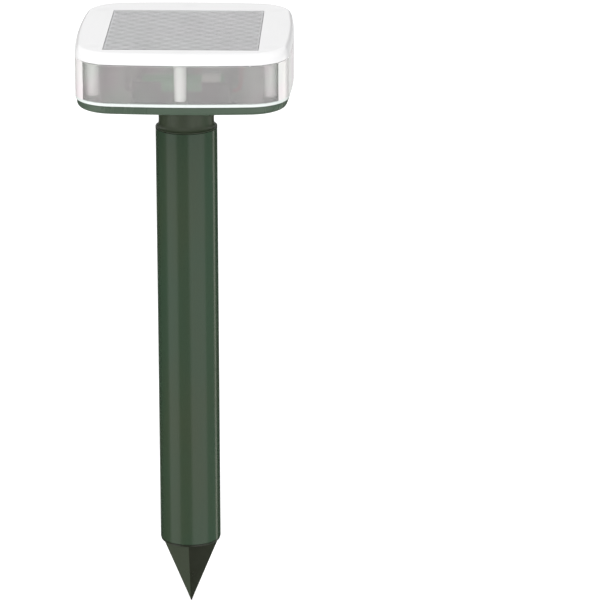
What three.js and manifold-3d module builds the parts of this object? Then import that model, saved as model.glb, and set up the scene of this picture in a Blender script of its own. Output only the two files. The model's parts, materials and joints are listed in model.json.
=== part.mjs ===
/**
 * Solar pest repeller: a solar head with a sounder that plugs into a tubular ground stake.
 *
 * Millimetres, +Z up. The origin is the tip of the ground spike, and -Y is the front.
 * The head is modelled in its own group, whose zero height is the underside of its tray.
 */
import * as THREE from "three";
import { mergeVertices } from "three/addons/utils/BufferGeometryUtils.js";
import Module from "manifold-3d";

const wasm = await Module();
wasm.setup();

// ---------------------------------------------------------------------------
// Driving dimensions
// ---------------------------------------------------------------------------

const GAP = 0.3; // between touching pieces
const THIN_GAP = 0.1; // between the flat layers of a glued stack

const TUBE = { radius: 19, wall: 1.3, bottom: 44.75, top: 312.5 };
const SPIKE = { corner: 18.3, tip: 0.5, flange: 18.6, flangeThickness: 1.3 };
const PLUG = { radius: 17.3, wall: 2.2, top: 74, chamfer: 1.2, rib: 1.6, ribDrop: 8 };

// The head's plan: four bulging sides that run into round corners.
const HEAD = { base: 337, halfWidth: 65.9, bulge: 3.8, cornerRadius: 24.3 };

const TRAY = { inset: 0.9, floor: 2.2, rim: 5.1, roundHeight: 3.4, roundWidth: 3.0 };
const LIP = { outer: 3.3, inner: 4.7, top: 6.6 };
const GROOVE = { outer: 1.5, inner: 3.3, bottom: 4.0 };
const BAND = { wall: 2.2, rimWall: 3.0, bottom: 5.4, rimTop: 7.0, top: 30.7 };
const SHELL = { bottom: 31.0, top: 38.1, wall: 3.0, plate: 2.4, roundHeight: 6.9, roundWidth: 3.2 };
const TONGUE = { outer: 2.5, inner: 3.9, bottom: 29.6 };
const POST = { x: 53.2, y: 45.2, frontY: 58.2, topRadius: 3.9, endRadius: 3.6, end: 7.8, pilot: 1.7 };
const BOSS = { radius: 4.6, counterbore: 3.4, seat: 2.3 };

const PANEL = { width: 92.4, depth: 96.6, y: -6.45, clearance: 0.35, floor: 1.8, frame: 1.6 };
const WIRE_HOLE = { y: 30, radius: 3 };

const NECK = { radius: 17, bore: 13.6, throat: 9.5, ceiling: -9, flareTop: -20, flareBottom: -23.7 };
const SPIGOT = { radius: 17, bottom: -70.5, groove: 15.7, grooveHeight: 2.2, grooves: [-36.2, -58.2] };
const O_RING = { radius: 16.65, section: 0.75 };
const REGISTER = { radius: 11.2, top: 1.9 };
const COLLAR_SCREWS = { circle: 14.2, clearance: 1.6 };

const BOARD = { width: 66, depth: 36, y: 34, bottom: 13, thickness: 1.6 };
const STANDOFF = { x: 28, depths: [21, 47], radius: 3, bore: 1.3 };
const BUTTON = { y: 42, radius: 5.2, flange: 6.8, face: -2.0, stem: 1.8 };
const GUARD = { outer: 8.8, inner: 7.6, depth: 1.4 };
const SWITCH = { side: 8.4, bottom: 7.0, travel: 1.8 };

const HOLDER = { length: 59, depth: 18, height: 13, y: -36, wall: 1.4 };
const CELL = { radius: 7.1, length: 49.2, nub: 2.6, nubLength: 1.2 };

const LEAD = { radius: 0.8, sides: 6, steps: 18 };

const FINISH = {
  greenPlastic: { color: 0x3f5a41, roughness: 0.32, metalness: 0 },
  darkGreenPlastic: { color: 0x364a36, roughness: 0.4, metalness: 0 },
  whitePlastic: { color: 0xf4f4f4, roughness: 0.3, metalness: 0 },
  frostedPlastic: { color: 0xc9c8cb, roughness: 0.35, metalness: 0 },
  glass: { color: 0xd9dadb, roughness: 0.1, metalness: 0 },
  silicon: { color: 0x8f8f91, roughness: 0.4, metalness: 0 },
  circuitBoard: { color: 0x2f6a3f, roughness: 0.5, metalness: 0 },
  foam: { color: 0x3a3a3a, roughness: 0.95, metalness: 0 },
  rubber: { color: 0x232323, roughness: 0.8, metalness: 0 },
  blackPlastic: { color: 0x1d1d1f, roughness: 0.5, metalness: 0 },
  steel: { color: 0xb4b6b8, roughness: 0.3, metalness: 1 },
  copper: { color: 0xb8733a, roughness: 0.35, metalness: 1 },
  cellWrap: { color: 0x3f7f55, roughness: 0.4, metalness: 0 },
  capacitorSleeve: { color: 0x26304f, roughness: 0.4, metalness: 0 },
  redLead: { color: 0xb32020, roughness: 0.5, metalness: 0 },
  blackLead: { color: 0x181818, roughness: 0.5, metalness: 0 },
};

// ---------------------------------------------------------------------------
// Solids
// ---------------------------------------------------------------------------

/** A closed geometry as a solid that can be joined and cut. */
function toSolid(geometry) {
  const bare = geometry.index ? geometry.toNonIndexed() : geometry.clone();
  bare.deleteAttribute("normal");
  bare.deleteAttribute("uv");
  const merged = mergeVertices(bare, 1e-4);
  const mesh = new wasm.Mesh({
    numProp: 3,
    vertProperties: merged.attributes.position.array,
    triVerts: new Uint32Array(merged.index.array),
  });
  return new wasm.Manifold(mesh);
}

/** A solid as a geometry with flat faces. */
function toGeometry(solid) {
  const { numProp, vertProperties, triVerts } = solid.getMesh();
  const positions = new Float32Array(triVerts.length * 3);
  triVerts.forEach((vertex, corner) => {
    for (let axis = 0; axis < 3; axis++) {
      positions[corner * 3 + axis] = vertProperties[vertex * numProp + axis];
    }
  });
  const geometry = new THREE.BufferGeometry();
  geometry.setAttribute("position", new THREE.BufferAttribute(positions, 3));
  geometry.computeVertexNormals();
  return geometry;
}

/** Joins the added geometries to the first and then cuts the others from it. */
function carve(base, { add = [], cut = [] }) {
  let solid = toSolid(base);
  for (const piece of add) {
    solid = solid.add(toSolid(piece));
  }
  for (const piece of cut) {
    solid = solid.subtract(toSolid(piece));
  }
  return toGeometry(solid);
}

/** What two geometries share. */
function shared(first, second) {
  return toGeometry(toSolid(first).intersect(toSolid(second)));
}

/** A profile of [radius, height] points turned round the vertical axis. */
function turned(profile, segments) {
  const points = profile.map(([radius, height]) => new THREE.Vector2(radius, height));
  return new THREE.LatheGeometry(points, segments).rotateX(Math.PI / 2);
}

/** A tube wall between two radii and two heights. */
function sleeve(inner, outer, bottom, top, segments = 32) {
  const profile = [
    [inner, bottom],
    [outer, bottom],
    [outer, top],
    [inner, top],
    [inner, bottom],
  ];
  return turned(profile, segments);
}

/** An upright round bar, or a taper where the end radii differ. */
function bar(radius, bottom, top, segments = 24, topRadius = radius) {
  const height = top - bottom;
  const geometry = new THREE.CylinderGeometry(topRadius, radius, height, segments);
  return geometry.rotateX(Math.PI / 2).translate(0, 0, bottom + height / 2);
}

/** An upright block centred on the vertical axis. */
function block(width, depth, bottom, top) {
  const height = top - bottom;
  return new THREE.BoxGeometry(width, depth, height).translate(0, 0, bottom + height / 2);
}

/** The head's plan, drawn smaller by the inset, as points of one closed outline. */
function headPoints(inset) {
  const chord = HEAD.halfWidth - HEAD.bulge;
  const sideRadius = (chord ** 2 + HEAD.bulge ** 2) / (2 * HEAD.bulge);
  const sideOffset = sideRadius - HEAD.halfWidth;
  const reach = sideRadius - HEAD.cornerRadius;
  const corner = (Math.sqrt(2 * reach ** 2 - sideOffset ** 2) - sideOffset) / 2;
  const turn = Math.atan2(corner, corner + sideOffset);
  const steps = 6;
  const points = [];
  const arc = (centre, radius, from, to) => {
    for (let step = 0; step < steps; step++) {
      const angle = from + ((to - from) * step) / steps;
      points.push(new THREE.Vector2(Math.cos(angle), Math.sin(angle)).multiplyScalar(radius).add(centre));
    }
  };
  for (let side = 0; side < 4; side++) {
    const facing = (side * Math.PI) / 2;
    const origin = new THREE.Vector2();
    const sideCentre = new THREE.Vector2(-sideOffset, 0).rotateAround(origin, facing);
    const cornerCentre = new THREE.Vector2(corner, corner).rotateAround(origin, facing);
    arc(sideCentre, sideRadius - inset, facing - turn, facing + turn);
    arc(cornerCentre, HEAD.cornerRadius - inset, facing + turn, facing + Math.PI / 2 - turn);
  }
  return points;
}

/** A slab of the head's plan between two heights. */
function headSlab(inset, bottom, top) {
  const shape = new THREE.Shape(headPoints(inset));
  const geometry = new THREE.ExtrudeGeometry(shape, { depth: top - bottom, bevelEnabled: false });
  return geometry.translate(0, 0, bottom);
}

/** A ring that follows the head's plan, between two insets and two heights. */
function headRing(outerInset, innerInset, bottom, top) {
  const shape = new THREE.Shape(headPoints(outerInset));
  shape.holes.push(new THREE.Path(headPoints(innerInset)));
  const geometry = new THREE.ExtrudeGeometry(shape, { depth: top - bottom, bevelEnabled: false });
  return geometry.translate(0, 0, bottom);
}

/** A slab of the head's plan with its upper or its lower edge rounded. */
function roundedHeadSlab(inset, bottom, top, { height, width, lower = false }) {
  const middle = 12;
  const geometry = new THREE.ExtrudeGeometry(new THREE.Shape(headPoints(inset)), {
    depth: middle,
    bevelEnabled: true,
    bevelThickness: height,
    bevelSize: width,
    bevelOffset: -width,
    bevelSegments: 3,
  });
  geometry.translate(0, 0, lower ? bottom + height : top - height - middle);
  return shared(geometry, headSlab(inset, bottom, top));
}

/** The six places where a screw joins the tray to a post of the top shell. */
function postPlaces() {
  const corners = [-1, 1].flatMap((back) => [-1, 1].map((right) => [right * POST.x, back * POST.y]));
  return [...corners, [0, -POST.frontY], [0, POST.frontY]];
}

/** The three places of the screws that hold the collar, on a circle. */
function collarScrewPlaces() {
  return [0, 1, 2].map((index) => {
    const angle = Math.PI / 2 + (index * 2 * Math.PI) / 3;
    return [COLLAR_SCREWS.circle * Math.cos(angle), COLLAR_SCREWS.circle * Math.sin(angle)];
  });
}

/** The four places where the main board stands on the tray. */
function standoffPlaces() {
  return STANDOFF.depths.flatMap((y) => [-1, 1].map((side) => [side * STANDOFF.x, y]));
}

// ---------------------------------------------------------------------------
// Stake
// ---------------------------------------------------------------------------

function stakeTube() {
  return sleeve(TUBE.radius - TUBE.wall, TUBE.radius, TUBE.bottom, TUBE.top, 48);
}

/** A four-sided point under a round flange, with a ribbed plug that fills the tube's end. */
function groundSpike() {
  const flangeTop = TUBE.bottom - GAP;
  const flangeBottom = flangeTop - SPIKE.flangeThickness;
  const plugInner = PLUG.radius - PLUG.wall;
  const plugBottom = flangeTop - 0.5;
  const point = bar(SPIKE.tip, 0, flangeBottom + 0.2, 4, SPIKE.corner);
  const flange = bar(SPIKE.flange, flangeBottom, flangeTop, 32);
  const plug = turned(
    [
      [plugInner, plugBottom],
      [PLUG.radius, plugBottom],
      [PLUG.radius, PLUG.top - PLUG.chamfer],
      [PLUG.radius - PLUG.chamfer, PLUG.top],
      [plugInner, PLUG.top],
      [plugInner, plugBottom],
    ],
    32,
  );
  const ribLength = 2 * plugInner + 1;
  const ribTop = PLUG.top - PLUG.ribDrop;
  const rib = block(ribLength, PLUG.rib, plugBottom, ribTop);
  const crossRib = block(PLUG.rib, ribLength, plugBottom, ribTop);
  return carve(point, { add: [flange, plug, rib, crossRib] });
}

// ---------------------------------------------------------------------------
// Collar and its seals
// ---------------------------------------------------------------------------

/** The neck under the tray, its flare over the tube's rim, and the spigot inside the tube. */
function collar() {
  const rimGap = TUBE.top + GAP - HEAD.base;
  const profile = [
    [NECK.bore, SPIGOT.bottom],
    [SPIGOT.radius - 1, SPIGOT.bottom],
    [SPIGOT.radius, SPIGOT.bottom + 2],
  ];
  for (const bottom of [...SPIGOT.grooves].reverse()) {
    profile.push([SPIGOT.radius, bottom]);
    profile.push([SPIGOT.groove, bottom]);
    profile.push([SPIGOT.groove, bottom + SPIGOT.grooveHeight]);
    profile.push([SPIGOT.radius, bottom + SPIGOT.grooveHeight]);
  }
  profile.push([SPIGOT.radius, rimGap]);
  profile.push([TUBE.radius, rimGap]);
  profile.push([TUBE.radius, NECK.flareBottom]);
  profile.push([TUBE.radius - 0.6, NECK.flareBottom + 1.2]);
  profile.push([NECK.radius + 0.5, NECK.flareTop - 1]);
  profile.push([NECK.radius, NECK.flareTop]);
  profile.push([NECK.radius, -GAP]);
  profile.push([REGISTER.radius, -GAP]);
  profile.push([REGISTER.radius, REGISTER.top]);
  profile.push([NECK.throat, REGISTER.top]);
  profile.push([NECK.throat, NECK.ceiling]);
  profile.push([NECK.bore, NECK.ceiling]);
  profile.push([NECK.bore, SPIGOT.bottom]);
  const holes = collarScrewPlaces().map(([x, y]) =>
    bar(COLLAR_SCREWS.clearance, NECK.ceiling + 1, 1, 8).translate(x, y, 0),
  );
  return carve(turned(profile, 36), { cut: holes });
}

function oRing() {
  return new THREE.TorusGeometry(O_RING.radius, O_RING.section, 6, 30);
}

// ---------------------------------------------------------------------------
// Head casing
// ---------------------------------------------------------------------------

/** The shallow tray with its rim, screw bosses, board standoffs and button hole. */
function baseTray() {
  const body = roundedHeadSlab(TRAY.inset, 0, TRAY.rim, {
    height: TRAY.roundHeight,
    width: TRAY.roundWidth,
    lower: true,
  });
  const bossTop = POST.end - GAP;
  const standoffTop = BOARD.bottom - GAP;
  const hollow = headSlab(LIP.inner, TRAY.floor, TRAY.rim + 1);
  const opened = carve(body, { cut: [hollow] });
  const add = [headRing(LIP.outer, LIP.inner, TRAY.floor + 0.5, LIP.top)];
  const cut = [headRing(GROOVE.outer, GROOVE.inner, GROOVE.bottom, TRAY.rim + 1)];
  for (const [x, y] of postPlaces()) {
    add.push(bar(BOSS.radius, 1, bossTop, 14).translate(x, y, 0));
    cut.push(bar(POST.pilot, -1, bossTop + 1, 8).translate(x, y, 0));
    cut.push(bar(BOSS.counterbore, -1, BOSS.seat, 14).translate(x, y, 0));
  }
  for (const [x, y] of standoffPlaces()) {
    add.push(bar(STANDOFF.radius, 1, standoffTop, 12).translate(x, y, 0));
    cut.push(bar(STANDOFF.bore, 6, standoffTop + 1, 8).translate(x, y, 0));
  }
  for (const [x, y] of collarScrewPlaces()) {
    cut.push(bar(COLLAR_SCREWS.clearance, -1, TRAY.floor + 1, 8).translate(x, y, 0));
  }
  cut.push(bar(REGISTER.radius + GAP, -1, TRAY.floor + 1, 28));
  add.push(sleeve(GUARD.inner, GUARD.outer, -GUARD.depth, 1, 24).translate(0, BUTTON.y, 0));
  cut.push(bar(BUTTON.radius + GAP, -3, TRAY.floor + 1, 24).translate(0, BUTTON.y, 0));
  return carve(opened, { add, cut });
}

/** The clear side wall, a ring between the tray and the top shell. */
function sideBand() {
  const wall = headRing(0, BAND.wall, BAND.bottom, BAND.top);
  const rim = headRing(0, BAND.rimWall, BAND.bottom, BAND.rimTop);
  return carve(wall, { add: [rim] });
}

function bandSeal() {
  const bottom = GROOVE.bottom + THIN_GAP;
  return headRing(GROOVE.outer + GAP, GROOVE.inner - GAP, bottom, BAND.bottom - THIN_GAP);
}

/** The top with its recess for the solar panel and the six posts that take the screws. */
function topShell() {
  const under = SHELL.top - SHELL.plate;
  const recess = PANEL.clearance * 2;
  const frame = recess + PANEL.frame * 2;
  const floorWidth = PANEL.width + frame;
  const floorDepth = PANEL.depth + frame;
  const outer = roundedHeadSlab(0, SHELL.bottom, SHELL.top, {
    height: SHELL.roundHeight,
    width: SHELL.roundWidth,
  });
  const hollow = roundedHeadSlab(SHELL.wall, SHELL.bottom - 1, under, { height: 4.4, width: 2.2 });
  const opened = carve(outer, { cut: [hollow] });
  const add = [
    headRing(TONGUE.outer, TONGUE.inner, TONGUE.bottom, SHELL.bottom + 1.5),
    block(floorWidth, floorDepth, under - PANEL.floor, under + 0.5).translate(0, PANEL.y, 0),
  ];
  const cut = [
    block(PANEL.width + recess, PANEL.depth + recess, under, SHELL.top + 1).translate(0, PANEL.y, 0),
    bar(WIRE_HOLE.radius, under - PANEL.floor - 1, under + 1, 12).translate(0, WIRE_HOLE.y, 0),
  ];
  for (const [x, y] of postPlaces()) {
    add.push(bar(POST.endRadius, POST.end, under + 0.4, 14, POST.topRadius).translate(x, y, 0));
    cut.push(bar(POST.pilot, POST.end - 1, POST.end + 11, 8).translate(x, y, 0));
  }
  return carve(opened, { add, cut });
}

// ---------------------------------------------------------------------------
// Solar panel
// ---------------------------------------------------------------------------

/** The heights of the panel's glued layers, from the recess floor to the flush glass. */
function panelLayers() {
  const floor = SHELL.top - SHELL.plate;
  const tape = [floor + THIN_GAP, floor + 0.5];
  const board = [tape[1] + THIN_GAP, tape[1] + THIN_GAP + 0.8];
  const cells = [board[1] + THIN_GAP, board[1] + THIN_GAP + 0.25];
  const glass = [cells[1] + THIN_GAP, SHELL.top];
  return { tape, board, cells, glass };
}

function panelSheet([bottom, top], margin) {
  return block(PANEL.width - 2 * margin, PANEL.depth - 2 * margin, bottom, top);
}

function solarTape() {
  const [bottom, top] = panelLayers().tape;
  return carve(panelSheet([bottom, top], 0.8), { cut: [panelSheet([bottom - 1, top + 1], 7)] });
}

// ---------------------------------------------------------------------------
// Fasteners
// ---------------------------------------------------------------------------

/** A pan-head screw that points up, with its head's seat at height 0. */
function screw(headRadius, headHeight, shankRadius, shankLength) {
  const profile = [
    [0, -headHeight],
    [headRadius * 0.8, -headHeight],
    [headRadius, -headHeight * 0.5],
    [headRadius, 0],
    [shankRadius, 0],
    [shankRadius, shankLength - shankRadius],
    [0, shankLength],
  ];
  const slot = block(headRadius, headRadius * 0.28, -headHeight - 1, -headHeight * 0.45);
  const crossSlot = slot.clone().rotateZ(Math.PI / 2);
  return carve(turned(profile, 12), { cut: [slot, crossSlot] });
}

// ---------------------------------------------------------------------------
// Electronics
// ---------------------------------------------------------------------------

function mainBoard() {
  const top = BOARD.bottom + BOARD.thickness;
  const sheet = block(BOARD.width, BOARD.depth, BOARD.bottom, top).translate(0, BOARD.y, 0);
  const holes = standoffPlaces().map(([x, y]) =>
    bar(STANDOFF.bore, BOARD.bottom - 1, top + 1, 8).translate(x, y, 0),
  );
  return carve(sheet, { cut: holes });
}

/** A moulded chip body with a row of legs on each side. */
function driveChip() {
  const body = block(10, 5.6, 0.4, 2.4);
  const legs = [];
  for (const x of [-3.75, -1.25, 1.25, 3.75]) {
    legs.push(block(0.6, 8, 0, 1.2).translate(x, 0, 0));
  }
  return carve(body, { add: legs });
}

function timingCapacitor() {
  const profile = [
    [0, 0],
    [3.8, 0],
    [4, 0.4],
    [4, 1],
    [3.6, 1.4],
    [4, 1.8],
    [4, 10.6],
    [3.7, 11],
    [0, 11],
  ];
  return turned(profile, 16);
}

function boostInductor() {
  const profile = [
    [0, 0],
    [4.5, 0],
    [4.5, 1],
    [3.8, 1.2],
    [3.8, 5.3],
    [4.5, 5.5],
    [4.5, 6.5],
    [0, 6.5],
  ];
  return turned(profile, 16);
}

/** A diode lying on the board, body along X, with its wires bent down at both ends. */
function chargeDiode() {
  const body = bar(1.4, -2.6, 2.6, 16).rotateY(Math.PI / 2).translate(0, 0, 1.8);
  const wire = bar(0.4, -4.4, 4.4, 8).rotateY(Math.PI / 2).translate(0, 0, 1.8);
  const legs = [-4.2, 4.2].map((x) => bar(0.4, 0, 2, 8).translate(x, 0, 0));
  return carve(body, { add: [wire, ...legs] });
}

/** The body of the push switch, with its plunger pointing down. */
function switchBody() {
  const top = BOARD.bottom - THIN_GAP;
  return carve(block(SWITCH.side, SWITCH.side, SWITCH.bottom + 1, top), {
    add: [bar(1.6, SWITCH.bottom, SWITCH.bottom + 1.5, 12)],
  });
}

/** The button under the tray: a round cap, a flange inside the tray and a stem to the switch. */
function powerButton() {
  const flangeBottom = TRAY.floor + GAP;
  const profile = [
    [0, BUTTON.face],
    [BUTTON.radius - 0.8, BUTTON.face],
    [BUTTON.radius, BUTTON.face + 0.8],
    [BUTTON.radius, flangeBottom],
    [BUTTON.flange, flangeBottom],
    [BUTTON.flange, flangeBottom + 1],
    [BUTTON.stem, flangeBottom + 1],
    [BUTTON.stem, SWITCH.bottom - SWITCH.travel],
    [0, SWITCH.bottom - SWITCH.travel],
  ];
  return turned(profile, 24);
}

/** The open box that holds the cell, with notches in its long walls for a finger. */
function batteryHolder() {
  const bottom = TRAY.floor + GAP;
  const top = bottom + HOLDER.height;
  const inside = 2 * HOLDER.wall;
  const cavity = block(HOLDER.length - inside, HOLDER.depth - inside, bottom + HOLDER.wall, top + 1);
  const notch = block(24, HOLDER.depth + 2, bottom + 7, top + 1);
  return carve(block(HOLDER.length, HOLDER.depth, bottom, top), { cut: [cavity, notch] });
}

/** An AA cell with its contact nub, axis along +X. */
function batteryCell() {
  const profile = [
    [0, 0],
    [CELL.radius - 0.6, 0],
    [CELL.radius, 0.6],
    [CELL.radius, CELL.length - 0.8],
    [CELL.radius - 0.8, CELL.length],
    [CELL.nub, CELL.length],
    [CELL.nub, CELL.length + CELL.nubLength],
    [0, CELL.length + CELL.nubLength],
  ];
  const length = CELL.length + CELL.nubLength;
  return turned(profile, 24).translate(0, 0, -length / 2).rotateY(Math.PI / 2);
}

/** A wire of round section along a curve. */
function wire(curve, radius, sides, steps) {
  const section = new THREE.Shape();
  for (let side = 0; side < sides; side++) {
    const angle = (side * 2 * Math.PI) / sides;
    const corner = [radius * Math.cos(angle), radius * Math.sin(angle)];
    if (side === 0) section.moveTo(...corner);
    else section.lineTo(...corner);
  }
  return new THREE.ExtrudeGeometry(section, { steps, bevelEnabled: false, extrudePath: curve });
}

/** A conical contact spring wound along +X. */
function batterySpring() {
  const turns = 3;
  const points = [];
  const pointsPerTurn = 10;
  for (let index = 0; index <= turns * pointsPerTurn; index++) {
    const share = index / (turns * pointsPerTurn);
    const angle = share * turns * 2 * Math.PI;
    const radius = 4.6 - 2 * share;
    points.push(new THREE.Vector3(3.0 * share, radius * Math.cos(angle), radius * Math.sin(angle)));
  }
  return wire(new THREE.CatmullRomCurve3(points), 0.35, 5, 34);
}

function batteryContact() {
  return block(0.4, 10, -5, 5);
}

// ---------------------------------------------------------------------------
// Sounder, inside the spigot
// ---------------------------------------------------------------------------

/** The grille that closes the spigot, with a rim that fits its bore. */
function sounderCap() {
  const top = SPIGOT.bottom - GAP;
  const bottom = top - 2;
  const disc = bar(SPIGOT.radius - 1, bottom, top, 28);
  const rim = sleeve(NECK.bore - GAP - 1.4, NECK.bore - GAP, top - 0.5, top + 3.6, 24);
  const holes = [bar(1.3, bottom - 1, top + 1, 6)];
  for (const [count, circle] of [
    [6, 4.6],
    [8, 9],
  ]) {
    for (let index = 0; index < count; index++) {
      const angle = (index * 2 * Math.PI) / count;
      const hole = bar(1.3, bottom - 1, top + 1, 6);
      holes.push(hole.translate(circle * Math.cos(angle), circle * Math.sin(angle), 0));
    }
  }
  return carve(disc, { add: [rim], cut: holes });
}

function sounderFrame() {
  const profile = [
    [8.2, -63.4],
    [13.2, -63.4],
    [13.2, -61.9],
    [9.4, -61.9],
    [9.4, -48],
    [0, -48],
    [0, -50],
    [8.2, -50],
    [8.2, -63.4],
  ];
  return turned(profile, 24);
}

function sounderDiaphragm() {
  const profile = [
    [0, -62.3],
    [5, -62.3],
    [6.5, -61.6],
    [7.2, -62.3],
    [7.6, -64.4],
    [13, -64.4],
    [13, -63.8],
    [8, -63.8],
    [7.7, -61.9],
    [6.5, -60.9],
    [5, -61.7],
    [0, -61.7],
  ];
  return turned(profile, 20);
}

// ---------------------------------------------------------------------------
// Leads
// ---------------------------------------------------------------------------

/** One insulated lead through the given [x, y, height] points of the head. */
function lead(points) {
  const curve = new THREE.CatmullRomCurve3(points.map((point) => new THREE.Vector3(...point)));
  return wire(curve, LEAD.radius, LEAD.sides, LEAD.steps);
}

/** The routes on the right-hand side; the left-hand leads mirror them. */
const LEAD_ROUTES = {
  solar_lead: [
    [1.4, 30, 36.1],
    [1.4, 30, 32],
    [4, 29.5, 26],
    [8, 29, 20],
    [8, 29, 14.9],
  ],
  battery_lead: [
    [30.6, -36, 8],
    [33.5, -33, 8.5],
    [34.5, -22, 11],
    [34, -4, 16],
    [32, 10, 20],
    [31, 18.5, 19],
    [31, 19.2, 14.9],
  ],
  sounder_lead: [
    [4, 0, -47.6],
    [4, 0, -30],
    [5, 1, -8],
    [5.5, 3, 3],
    [7, 8, 11],
    [9, 14, 18],
    [10, 20, 18],
    [10, 20.5, 14.9],
  ],
};

function mirrored(points) {
  return points.map(([x, y, height]) => [-x, y, height]);
}

// ---------------------------------------------------------------------------
// Assembly
// ---------------------------------------------------------------------------

/** Adds one named piece to a group, at a place in that group. */
function addPiece(group, name, geometry, finish, place = [0, 0, 0]) {
  const mesh = new THREE.Mesh(geometry, new THREE.MeshStandardMaterial(finish));
  mesh.name = name;
  mesh.position.set(...place);
  group.add(mesh);
  return mesh;
}

function buildStake() {
  const stake = new THREE.Group();
  addPiece(stake, "ground_spike", groundSpike(), FINISH.darkGreenPlastic);
  addPiece(stake, "stake_tube", stakeTube(), FINISH.greenPlastic);
  return stake;
}

function buildCasing(head) {
  addPiece(head, "base_tray", baseTray(), FINISH.greenPlastic);
  addPiece(head, "band_seal", bandSeal(), FINISH.rubber);
  addPiece(head, "side_band", sideBand(), FINISH.frostedPlastic);
  addPiece(head, "top_shell", topShell(), FINISH.whitePlastic);
  const seat = BOSS.seat - THIN_GAP;
  postPlaces().forEach(([x, y], index) => {
    addPiece(head, `cover_screw_${index + 1}`, screw(3, 1.8, 1.35, 14), FINISH.steel, [x, y, seat]);
  });
}

function buildPanel(head) {
  const layers = panelLayers();
  const place = [0, PANEL.y, 0];
  addPiece(head, "solar_tape", solarTape(), FINISH.foam, place);
  addPiece(head, "solar_board", panelSheet(layers.board, 0), FINISH.circuitBoard, place);
  addPiece(head, "solar_cells", panelSheet(layers.cells, 1), FINISH.silicon, place);
  addPiece(head, "solar_glass", panelSheet(layers.glass, 0), FINISH.glass, place);
}

function buildElectronics(head) {
  const boardTop = BOARD.bottom + BOARD.thickness;
  const onBoard = boardTop + THIN_GAP;
  addPiece(head, "main_board", mainBoard(), FINISH.circuitBoard);
  standoffPlaces().forEach(([x, y], index) => {
    const boardScrew = addPiece(head, `board_screw_${index + 1}`, screw(2.4, 1.5, 0.95, 6), FINISH.steel);
    boardScrew.rotation.x = Math.PI;
    boardScrew.position.set(x, y, onBoard);
  });
  addPiece(head, "drive_chip", driveChip(), FINISH.blackPlastic, [-20, 34, onBoard]);
  addPiece(head, "timing_capacitor", timingCapacitor(), FINISH.capacitorSleeve, [18, 26, onBoard]);
  addPiece(head, "boost_inductor", boostInductor(), FINISH.blackPlastic, [-18, 24, onBoard]);
  addPiece(head, "charge_diode", chargeDiode(), FINISH.blackPlastic, [12, 40, onBoard]);
  addPiece(head, "switch_body", switchBody(), FINISH.blackPlastic, [0, BUTTON.y, 0]);
}

function buildBattery(head) {
  const axisHeight = TRAY.floor + GAP + HOLDER.wall + GAP + CELL.radius;
  const cellX = 1;
  const cellEnd = (CELL.length + CELL.nubLength) / 2;
  addPiece(head, "battery_holder", batteryHolder(), FINISH.blackPlastic, [0, HOLDER.y, 0]);
  addPiece(head, "battery_cell", batteryCell(), FINISH.cellWrap, [cellX, HOLDER.y, axisHeight]);
  addPiece(head, "battery_spring", batterySpring(), FINISH.steel, [-27.6, HOLDER.y, axisHeight]);
  const contactX = cellX + cellEnd + 0.5;
  addPiece(head, "battery_contact", batteryContact(), FINISH.steel, [contactX, HOLDER.y, axisHeight]);
}

function buildCollar(head) {
  addPiece(head, "collar", collar(), FINISH.greenPlastic);
  collarScrewPlaces().forEach(([x, y], index) => {
    const geometry = screw(2.5, 1.6, 1.3, 8.5);
    const collarScrew = addPiece(head, `collar_screw_${index + 1}`, geometry, FINISH.steel);
    collarScrew.rotation.x = Math.PI;
    collarScrew.position.set(x, y, TRAY.floor + THIN_GAP);
  });
}

function buildSounder(head) {
  addPiece(head, "sounder_cap", sounderCap(), FINISH.blackPlastic);
  addPiece(head, "sounder_ring", sleeve(9.8, 13.2, -66.8, -64.7, 24), FINISH.foam);
  addPiece(head, "sounder_diaphragm", sounderDiaphragm(), FINISH.frostedPlastic);
  addPiece(head, "sounder_coil", sleeve(5.4, 6.3, -60.5, -54, 20), FINISH.copper);
  addPiece(head, "sounder_magnet", bar(4.6, -61.2, -50.3, 18), FINISH.steel);
  addPiece(head, "sounder_frame", sounderFrame(), FINISH.steel);
}

function buildLeads(head) {
  for (const [name, route] of Object.entries(LEAD_ROUTES)) {
    addPiece(head, `${name}_red`, lead(route), FINISH.redLead);
    addPiece(head, `${name}_black`, lead(mirrored(route)), FINISH.blackLead);
  }
}

function buildHead() {
  const head = new THREE.Group();
  head.position.z = HEAD.base;
  buildCasing(head);
  buildPanel(head);
  buildElectronics(head);
  buildBattery(head);
  buildCollar(head);
  buildSounder(head);
  buildLeads(head);
  addPiece(head, "power_button", powerButton(), FINISH.rubber, [0, BUTTON.y, 0]);
  SPIGOT.grooves.forEach((bottom, index) => {
    const height = bottom + SPIGOT.grooveHeight / 2;
    addPiece(head, `spigot_o_ring_${index + 1}`, oRing(), FINISH.rubber, [0, 0, height]);
  });
  return head;
}

const repeller = new THREE.Group();
repeller.add(buildStake());
repeller.add(buildHead());

export default repeller;
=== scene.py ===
"""Looks of a solar pest repeller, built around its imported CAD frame.

The frame's space is used throughout: +Z up, the tip of the ground spike at the origin, -Y the front.
Sizes are written in millimetres and become metres when a piece is finished. Pieces of the head use
heights above the underside of its tray.
"""

import json
import logging
import math
from dataclasses import dataclass, field
from enum import Enum
from typing import Callable, Iterable, Sequence

import bmesh
import bpy
from mathutils import Matrix, Vector

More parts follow.
